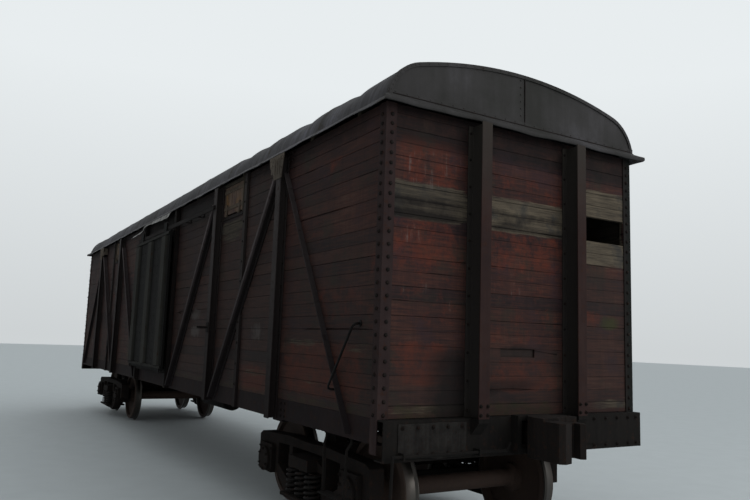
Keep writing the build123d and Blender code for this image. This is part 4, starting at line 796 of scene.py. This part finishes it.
# Longer bolts stand out of the corner angles on the far side, and through the end joists' feet.
corner_bolt_x, joist_foot_x = 6.8, 7.0325
long_spots = [((way * corner_bolt_x, way * board_face_y, z), (0, way, 0))
              for z in (3.43, 3.31, 3.06, 2.63, 2.2, 1.77) for way in (1, -1)]
long_spots += [((end * joist_foot_x, side * joist_y + dy, z), (end, 0, 0)) for end, side in corners
               for dy in (-end_stagger, end_stagger) for z in (1.25, 1.32)]
heads("long_bolts", long_spots, nut(0.012, 0.014), 6, "body", fixing_steel)


# Hatches. Each lid is a row of bare upright boards held by two steel straps, hung on two strap hinges
# along its foot. The wood is pale grey with ochre streaks where the boards were once oiled.
hatch_stops = [(0.3, "463830"), (0.5, "604f44"), (0.75, "7d6a57")]
hatch_boards = boards_finish("weathered_hatch_boards", hatch_stops, "473d35", "76685a", 0.0, "5e4530",
                             "85602f")
strap_paint = aged_steel("dusty_hatch_straps", "463d36", "5c5145", "4a3a2d", 0.4, 0.85)
lid_face_y, lid_thick, lid_count = 1.427, 0.034, 5
hinge_y, hinge_z, hinge_radius = 1.439, 3.270, 0.012
lid_x0, lid_x1 = hatch_low.x, hatch_high.x
lid_z0, lid_z1 = hinge_z + hinge_radius + 0.006, hatch_high.z
lid_pitch = (lid_x1 - lid_x0) / lid_count
lid_rows = [[(lid_z0, lid_z1, lid_x0 + lid_pitch * i, lid_x0 + lid_pitch * (i + 1))]
            for i in range(lid_count)]
ochre = patches_of(0.0, fresh=((lid_z0, lid_z1, lid_x0 + 0.02, lid_x0 + 0.2, 0.9),
                               (lid_z0, lid_z0 + 0.25, lid_x0 + 0.36, lid_x0 + 0.6, 0.8)))
strap_heights = (lid_z0 + 0.075, lid_z1 - 0.06)
strap_section = ((-0.004, -0.022), (0.004, -0.022), (0.0065, -0.019), (0.0065, 0.019), (0.004, 0.022),
                 (-0.004, 0.022))
knuckle = [(hinge_radius * math.cos(math.pi * k / 6), hinge_radius * math.sin(math.pi * k / 6))
           for k in range(12)]
hinge_leaf = ((-0.018, 0.003), (-0.018, 0.011), (0.018, 0.011), (0.018, 0.003))
for place, side, end in side_ends:
    body = "hatch_" + place
    made = board_wall("lid_boards_" + place, lid_rows, lambda s, d, z: (end * z, side * (lid_face_y - d), s),
                      ochre, (), 41, body, hatch_boards, lid_thick, 0.06)
    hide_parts(body)

    # Straps: flat bar 44 by 7 mm, a little bent, over the boards; hinge knuckles rolled round a pin.
    points, faces = [], []
    for z in strap_heights:
        rings = []
        for i in range(15):
            x = lid_x0 + 0.006 + (lid_x1 - lid_x0 - 0.012) * i / 14
            face = lid_face_y + 0.0012 * math.sin(i * 1.3)
            rings.append([(end * x, side * (face + dy), z + dz) for dy, dz in strap_section])
        sweep(points, faces, rings)
    for x in (lid_x0 + 0.11, lid_x1 - 0.11):
        sweep(points, faces, [[(end * (x + dx), side * (hinge_y + dy), hinge_z + dz) for dy, dz in knuckle]
                              for dx in (-0.030, -0.0285, 0.0285, 0.030)])
        sweep(points, faces, [[(end * (x + dx), side * (lid_face_y + dy), hinge_z + up)
                               for dx, dy in hinge_leaf] for up in (0.0, 0.05, 0.1, 0.138)])
    solid("lid_straps_" + place, points, faces, body, strap_paint)
    spots = [((end * (lid_x0 + lid_pitch * (i + 0.5)), side * (lid_face_y + 0.006), z), (0, side, 0))
             for i in range(lid_count) for z in strap_heights]
    heads("lid_bolts_" + place, spots, rivet(0.010, 0.006), 8, body, strap_paint)

# Below each hatch a flat bar carries the hinges, and a pale fillet stands at its jamb.
bar_root_y = 1.426
for name, x0, x1, z0, z1, out, finish, slot in (
        ("hatch_bars", lid_x0 - 0.03, lid_x1 + 0.03, 3.222, 3.256, 0.011, fixing_steel, "painted_frame"),
        ("hatch_fillets", lid_x1 + 0.008, lid_x1 + 0.034, 3.262, 3.66, 0.014, old_timber, "old_timber")):
    points, faces = [], []
    for _, side, end in side_ends:
        sweep(points, faces, [[(end * x, side * (bar_root_y + dy), z) for dy, z in (
            (0.0, z0), (out - 0.002, z0), (out, z0 + 0.002), (out, z1 - 0.002), (out - 0.002, z1), (0.0, z1))]
            for x in (x0, (x0 + x1) / 2, x1)])
    solid(name, points, faces, "body", finish)


# Doors. Pressed steel sheet with three broad ribs, welded to a rail top and bottom, hung on rollers.
# The sheet between the ribs and rails is painted darker as shade, so that they stand out lighter.
door_paint = aged_steel("door_paint_shaded_between_ribs", "23221f", "31302c", "33271f", 0.35, 0.82, 90.0, 0.6,
                        (1, 1.576, 1.606, "171615"))
dress(["door_right", "door_left"], door_paint, 3.0)
door_face_y = 1.573
# pull handle by the edge that meets the jamb, and the draw bar of the hasp: along, off the door, height
pull_handle = [(-0.99, dy, z) for dy, z in (
    (-0.002, 1.93), (0.030, 1.932), (0.044, 1.945), (0.046, 1.98), (0.046, 2.14), (0.044, 2.175),
    (0.030, 2.188), (-0.002, 2.19))]
draw_bar = [(x, dy, 2.30) for x, dy in (
    (-1.03, 0.016), (-0.98, 0.02), (-0.93, 0.03), (-0.86, 0.03), (-0.84, 0.012), (-0.83, -0.002))]
door_rivets = [(x, 0.0, 1.43 + 0.13 * i) for x in (-1.02, -0.62, -0.4275, -0.23, 0.23, 0.4275, 0.62, 1.02)
               for i in range(14)]
door_rivets += [(x, 0.022, z) for x in (-0.95, -0.75, -0.55, -0.3, 0.0, 0.3, 0.55, 0.75, 0.95)
                for z in (1.345, 3.255)]
doors = (("right", -1, 1), ("left", 1, -1))
for place, side, end in doors:
    points, faces = [], []
    for path, radius in ((pull_handle, 0.009), (draw_bar, 0.011)):
        path = [(end * x, side * (door_face_y + dy), z) for x, dy, z in path]
        sweep(points, faces, bar_rings(path, radius))
    solid("door_handles_" + place, points, faces, "door_" + place, fixing_steel, True)
    spots = [((end * x, side * (door_face_y + dy), z), (0, side, 0)) for x, dy, z in door_rivets]
    heads("door_rivets_" + place, spots, rivet(0.010, 0.006), 8, "door_" + place, fixing_steel)


# Roof. Eleven sheets of galvanised steel rolled to the arch, each lapped over the next by 60 mm. They
# are dented and streaked down their slope, and lighter where the zinc is still bare.
def sheet_finish(name, stops, rust, rust_edge=0.60, roughness=0.55, run_share=0.5):
    """Weathered sheet: dull tones that run down the slope, rust in specks and along the laps. The field
    it reads holds distance along the body, distance over the arch and distance from the nearest lap."""
    made, tree, shader = new_finish(name)
    fall = add(tree, "Attribute", attribute_name="fall", out=1)
    from_lap = add(tree, "SeparateXYZ", {0: fall}, out=2)
    place = add(tree, "TexCoord", out=3)
    run_place = add(tree, "Mapping", {0: fall, 3: (13.0, 0.9, 0.0)})
    run, cloud, speck = (
        add(tree, "TexNoise", {"Vector": at, "Scale": scale, "Detail": detail, "Roughness": rough})
        for at, scale, detail, rough in ((run_place, 1.0, 7.0, 0.6), (place, 1.1, 8.0, 0.62),
                                         (place, 22.0, 9.0, 0.74)))
    tone = add(tree, "Mix", {0: run_share, 2: cloud, 3: run})
    colour = add(tree, "ValToRGB", {"Fac": tone}, stops=stops)
    near_lap = add(tree, "MapRange", {0: from_lap, 1: 0.0, 2: 0.09, 3: 0.16, 4: 0.0})
    rusty = add(tree, "Math", {0: speck, 1: near_lap}, operation="ADD")
    rusty = add(tree, "MapRange", {0: rusty, 1: rust_edge, 2: rust_edge + 0.09, 4: 0.85})
    colour = add(tree, "Mix", {0: rusty, 6: colour, 7: rust})
    bump = add(tree, "Bump", {"Height": speck, "Distance": 0.0006, "Strength": 0.5})
    matt = add(tree, "MapRange", {0: rusty, 3: roughness, 4: 0.9})
    add(tree, "", {"Base Color": colour, "Roughness": matt, "Normal": bump, "Specular IOR Level": 0.15},
        node=shader)
    return made


def wear_dents(rng, x_span, s_span, count, deepest):
    """Shallow dents: place along, place over the arch, radius and depth."""
    return [(rng.uniform(-x_span, x_span), rng.uniform(-s_span, s_span), rng.uniform(0.08, 0.35),
             rng.uniform(0.2, 1.0) * deepest) for _ in range(count)]


def dent_depth(dents, x, s):
    """Depth of all dents at a point of the sheet."""
    depth = 0.0
    for dx, ds, radius, deep in dents:
        square = ((x - dx) ** 2 + (s - ds) ** 2) / radius ** 2
        if square < 6:
            depth = max(depth, deep * math.exp(-square))
    return depth


crown_radius, crown_centre_z = 4.353, -0.133
shoulder_y, shoulder_z, shoulder_radius = 1.050, 3.678, 0.400
join_angle, foot_angle = math.radians(15.4), math.radians(81.1)
eave_y, eave_z, lip_reach, lip_drop = 1.4452, 3.740, 0.078, 0.080
roof_end = 6.880


def arch(sink):
    """Half of the arch from crown to eave, sunk by sink: sideways, height and direction outwards."""
    line = []
    crown = [join_angle * i / 12 for i in range(13)]
    shoulder = [join_angle + (foot_angle - join_angle) * i / 10 for i in range(1, 11)]
    for y, z, radius, angles in ((0.0, crown_centre_z, crown_radius, crown),
                                 (shoulder_y, shoulder_z, shoulder_radius, shoulder)):
        line += [(y + (radius - sink) * math.sin(a), z + (radius - sink) * math.cos(a), a) for a in angles]
    return line


def roof_line(sink, thick):
    """Closed section of sheet and eave lips, as sideways, height, outward angle, share of the lip."""
    half = [(y, z, a, 0.0) for y, z, a in arch(sink)]
    lip_angle = math.atan2(lip_drop, lip_reach)
    for share in (0.33, 0.66, 1.0):
        half.append((eave_y + lip_reach * share - sink, eave_z - lip_drop * share, lip_angle, share))
    outer = [(-y, z, -a, share) for y, z, a, share in reversed(half[1:])] + half
    inner = []
    for y, z, a, share in reversed(outer):
        deep = thick if share == 0 else thick * 0.35
        inner.append((y - deep * math.sin(a), z - deep * math.cos(a), a, share))
    return outer, inner


roof_rng = np.random.default_rng(51)
roof_dents = wear_dents(roof_rng, 6.8, 1.6, 60, 0.011)
# the deepest, along the near shoulder: loads and shunting poles have met it there
roof_dents += [(5.15, -1.31, 0.16, 0.034), (6.13, -1.31, 0.15, 0.034), (3.45, -1.33, 0.22, 0.020),
               (4.05, -1.30, 0.20, 0.020), (-5.70, -1.31, 0.25, 0.025)]
sheet_count, lap = 11, 0.060
sheet_width = 2 * roof_end / sheet_count
outer_line, inner_line = roof_line(0.0055, 0.016)
outer_count = len(outer_line)
over_arch = [0.0]
for (y0, z0, _, _), (y1, z1, _, _) in zip(outer_line[:-1], outer_line[1:]):
    over_arch.append(over_arch[-1] + math.hypot(y1 - y0, z1 - z0))
middle = over_arch[-1] / 2
points, faces, fall = [], [], []
for sheet in range(sheet_count):
    x0 = -roof_end + sheet_width * sheet
    x1 = x0 + sheet_width + (lap if sheet < sheet_count - 1 else 0.0)
    sag = roof_rng.uniform(0.0, 0.0035)
    wave = roof_rng.uniform(0, 6.28, 3)
    rings = []
    for x in list(np.linspace(x0, x1 - 0.004, 17)) + [x1]:
        ring = []
        lift = 0.0042 * max(0.0, 1 - (x - x0) / 0.09) if sheet else 0.0
        for k, (y, z, a, share) in enumerate(outer_line + inner_line):
            s = over_arch[k if k < outer_count else 2 * outer_count - 1 - k] - middle
            sink = sag * (1 + math.sin(3.1 * x + wave[0]) * math.sin(4 * s + wave[1])) / 2
            sink += dent_depth(roof_dents, x, s) - lift
            along = x
            if abs(x) > roof_end - 0.002 and share > 0:
                along = math.copysign(roof_end - 0.003 + lip_reach * share, x)
            up = 0.010 * share * (1 + math.sin(2.3 * x + wave[2]) * math.sin(7.7 * x)) / 2
            ring.append((along, y - sink * math.sin(a), z - sink * math.cos(a) + up))
            fall.append((x, s, min(abs(x - x0), abs(x1 - x))))
        rings.append(ring)
    sweep(points, faces, rings)
roof_stops = [(0.36, "2d2b2d"), (0.46, "3b393b"), (0.54, "4a484b"), (0.66, "63616a")]
roof_sheet = sheet_finish("streaked_galvanised_sheet", roof_stops, "3d3831", 0.56, 0.7)
made = solid("roof_sheets", points, faces, "body", roof_sheet, True)
write_fields(made, {"fall": fall})
made.data.set_sharp_from_angle(angle=math.radians(28))
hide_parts("roof")

# Over each door the eave's lip is bent down, and a strip torn from it hangs in front of the gap. Its
# zinc is still pale where it was folded.
strip_stops = [(0.36, "4a4744"), (0.5, "7a7774"), (0.62, "b0aeab")]
strip_zinc = sheet_finish("pale_loose_zinc", strip_stops, "55463c", 0.66)
strip_thick, strip_root_y = 0.002, 1.512
# along X, top, foot and stand-off of the strip
strip_line = np.array([
    (-1.95, 3.544, 3.537, 1.520), (-1.80, 3.560, 3.538, 1.524), (-1.45, 3.571, 3.545, 1.521),
    (-1.05, 3.588, 3.553, 1.524), (-0.98, 3.648, 3.570, 1.522), (-0.90, 3.664, 3.624, 1.518),
    (-0.60, 3.664, 3.634, 1.516), (-0.30, 3.664, 3.612, 1.522), (0.00, 3.664, 3.602, 1.526),
    (0.35, 3.664, 3.591, 1.524), (0.60, 3.664, 3.584, 1.526), (0.70, 3.664, 3.618, 1.519),
    (0.80, 3.664, 3.652, 1.514)])
for place, side, end in doors:
    rings, fall = [], []
    for x in np.linspace(strip_line[0, 0], strip_line[-1, 0], 61):
        top, foot, out = (np.interp(x, strip_line[:, 0], strip_line[:, k]) for k in (1, 2, 3))
        foot -= 0.0025 * (1 + math.sin(31.0 * x) * math.sin(11.0 * x))
        out += 0.003 * math.sin(17.0 * x)
        front = [(strip_root_y, top), (out - 0.004, (top + 2 * foot) / 3), (out + 0.004, foot)]
        back = [(y - strip_thick, z) for y, z in reversed(front)]
        rings.append([(end * x, side * y, z) for y, z in front + back])
        fall += [(x, z, 0.05) for _, z in front + back]
    points, faces = [], []
    sweep(points, faces, rings)
    made = solid("loose_eave_strip_" + place, points, faces, "body", strip_zinc)
    write_fields(made, {"fall": fall})


# End domes. Two dark sheets lapped and riveted down the middle close each end under the arch, with a
# turned rim round them and a flared ledge along the foot that throws rain clear of the boards.
dome_stops = [(0.36, "2e2d2b"), (0.5, "3a3838"), (0.62, "484648")]
dome_sheet = sheet_finish("dark_grey_dome_paint", dome_stops, "2b2422", 0.68, 0.75, 0.2)
dome_face, dome_back, dome_foot = 6.877, 6.867, 3.71
seam_y, seam_edge, dome_half = -0.030, 0.0, 1.405
arch_y, arch_z, _ = zip(*arch(0.026))
rim = arch(0.0)
rim = [(-y, z, -a) for y, z, a in reversed(rim[1:])] + rim
# the rim's section along X and down from the arch
rim_face = roof_end + 0.004
rim_section = ((roof_end - 0.04, 0.0), (roof_end + 0.002, 0.0), (rim_face, 0.003), (rim_face, 0.034),
               (roof_end - 0.001, 0.034), (roof_end - 0.001, 0.006), (roof_end - 0.04, 0.005))
# the ledge's section out from the dome and up from the eave, and how far each point follows the eave out
ledge = [(-0.001, 0.045, 0.0), (0.003, 0.047, 0.0), (0.003, 0.008, 0.0), (0.012, -0.006, 0.15),
         (0.040, -0.022, 0.45), (0.066, -0.036, 0.78), (0.078, -0.041, 0.92), (0.086, -0.047, 0.99),
         (0.088, -0.056, 1.0), (0.088, -0.070, 1.0), (0.083, -0.080, 0.96), (0.072, -0.082, 0.85),
         (0.066, -0.076, 0.78), (0.064, -0.060, 0.75), (0.038, -0.034, 0.42), (0.010, -0.014, 0.1),
         (-0.004, 0.0, 0.0)]
dark_bead = ((-0.004, -1), (0.0055, -0.8), (0.0065, 0), (0.0055, 0.8), (-0.004, 1))
for place, way, seed in (("front", 1, 61), ("rear", -1, 62)):
    rng = np.random.default_rng(seed)
    dents = wear_dents(rng, 1.4, 0.3, 12, 0.006)
    points, faces, fall = [], [], []
    for y0, y1, lift in ((-dome_half, seam_edge, 0.0), (seam_y - 0.03, dome_half, -0.0032)):
        rings = []
        for y in np.linspace(y0, y1, 34):
            top = float(np.interp(abs(y), arch_y, arch_z))
            low = min(dome_foot, top - 0.01)
            column = [low + (top - low) * k / 9 for k in range(10)]
            ring = [(dome_face + lift - 0.0005 - dent_depth(dents, y, z - 3.95), z) for z in column]
            ring += [(dome_back, z) for z in reversed(column)]
            rings.append([(way * x, way * y, z) for x, z in ring])
            fall += [(y, z, min(abs(y - seam_y) + 0.02, top - z + 0.02)) for _, z in ring]
        sweep(points, faces, rings)

    # Rim: an angle rolled to the arch, over the roof's edge and down over the dome.
    sweep(points, faces, [[(way * x, way * (y - deep * math.sin(a)), z - deep * math.cos(a))
                           for x, deep in rim_section] for y, z, a in rim])
    fall += [(y, z, 0.03) for y, z, _ in rim for _ in rim_section]

    # Ledge: flange up the dome, then flared out and down to a rolled lip, a little wavy.
    waves = rng.uniform(0, 6.28, 2)
    rings = []
    for u in np.linspace(-1, 1, 61):
        sway = 0.0035 * math.sin(9.0 * u + waves[0]) + 0.0025 * math.sin(23.0 * u + waves[1])
        sway -= 0.009 * math.exp(-((u - 0.04) / 0.16) ** 2)
        rings.append([(way * (dome_face + dx), way * u * (eave_y + lip_reach * share),
                       eave_z + dz + sway * share) for dx, dz, share in ledge])
        fall += [(u * (eave_y + lip_reach * share), dz, 0.05 + 0.05 * share) for _, dz, share in ledge]
    sweep(points, faces, rings)
    made = solid("dome_sheets_" + place, points, faces, "body", dome_sheet, True)
    write_fields(made, {"fall": fall})
    made.data.set_sharp_from_angle(angle=math.radians(30))
    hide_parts("end_dome_" + place)

    spots = [((way * (dome_face + 0.003), way * y, eave_z + 0.030), (way, 0, 0))
             for y in np.arange(-1.38, 1.39, 0.115)]
    spots += [((way * dome_face, way * (seam_y - 0.015), z), (way, 0, 0))
              for z in np.arange(3.84, 4.17, 0.065)]
    spots += [((way * rim_face, way * (y - 0.019 * math.sin(a)), z - 0.019 * math.cos(a)), (way, 0, 0))
              for y, z, a in rim[1:-1]]
    heads("dome_rivets_" + place, spots, rivet(0.007, 0.0035), 8, "body", dome_sheet)

    # A dark bead runs down the seam between the sheets, and a dark bead along the crease over the ledge is
    # painted shade for the crease.
    points, faces = [], []
    crown_z = float(np.interp(abs(seam_edge), arch_y, arch_z)) - 0.006
    for y0, z0, y1, z1, wide in ((seam_edge, eave_z + 0.04, seam_edge, crown_z, 0.004),
                                 (-1.40, eave_z + 0.012, 1.40, eave_z + 0.012, 0.0055)):
        rings = []
        for i in range(25):
            y, z = y0 + (y1 - y0) * i / 24, z0 + (z1 - z0) * i / 24
            half = wide * (1 + 0.35 * math.sin(2.7 * i) * math.sin(1.1 * i))
            dy, dz = (half, 0.0) if y0 == y1 else (0.0, half)
            rings.append([(way * (dome_face + out), way * (y + k * dy), z + k * dz) for out, k in dark_bead])
        sweep(points, faces, rings)
    solid("dome_dark_beads_" + place, points, faces, "body", fixing_steel)


# Studio. A pale floor under the wheels and a pale room, brighter ahead of the camera than behind it,
# so that the light is that of an overcast day. One large soft panel fills the end.
floor_mesh = bpy.data.meshes.new("studio_floor")
reach = 90.0
floor_mesh.from_pydata([(-reach, -reach, 0), (reach, -reach, 0), (reach, reach, 0), (-reach, reach, 0)],
                       [], [(0, 1, 2, 3)])
studio_floor = bpy.data.objects.new("studio_floor", floor_mesh)
bpy.context.scene.collection.objects.link(studio_floor)
pale, tree, shader = new_finish("pale_floor_paint")
speck = add(tree, "TexNoise", {"Vector": add(tree, "TexCoord", out=3), "Scale": 3.0, "Detail": 4.0})
tint = add(tree, "Mix", {0: speck, 6: "b6bcbe", 7: "c0c6c8"})
add(tree, "", {"Base Color": tint, "Roughness": 0.95}, node=shader)
floor_mesh.materials.append(pale)

world = bpy.data.worlds.new("studio")
bpy.context.scene.world = world
world.use_nodes = True
tree = world.node_tree
back = tree.nodes["Background"]
split = add(tree, "SeparateXYZ", {0: add(tree, "TexCoord")})
sideways = add(tree, "MapRange", {0: split.node.outputs[1], 1: -0.8, 2: 0.05, 3: 0.42, 4: 1.0},
               interpolation_type="SMOOTHSTEP")
rising = add(tree, "MapRange", {0: split.node.outputs[2], 1: 0.0, 2: 0.35, 3: 0.76, 4: 1.0})
strength = add(tree, "Math", {0: sideways, 1: rising}, operation="MULTIPLY")
add(tree, "", {"Color": "e8edef", "Strength": strength}, node=back)
bpy.context.scene.view_settings.view_transform = "Standard"

panel = bpy.data.lights.new("end_panel", "AREA")
panel.size = 7.0
panel.energy = 330.0
lamp = bpy.data.objects.new("end_panel", panel)
lamp.location = (17.0, 3.5, 6.5)
lamp.rotation_mode = "QUATERNION"
lamp.rotation_quaternion = (Vector((6.9, 0.0, 2.4)) - lamp.location).to_track_quat("-Z", "Y")
bpy.context.scene.collection.objects.link(lamp)
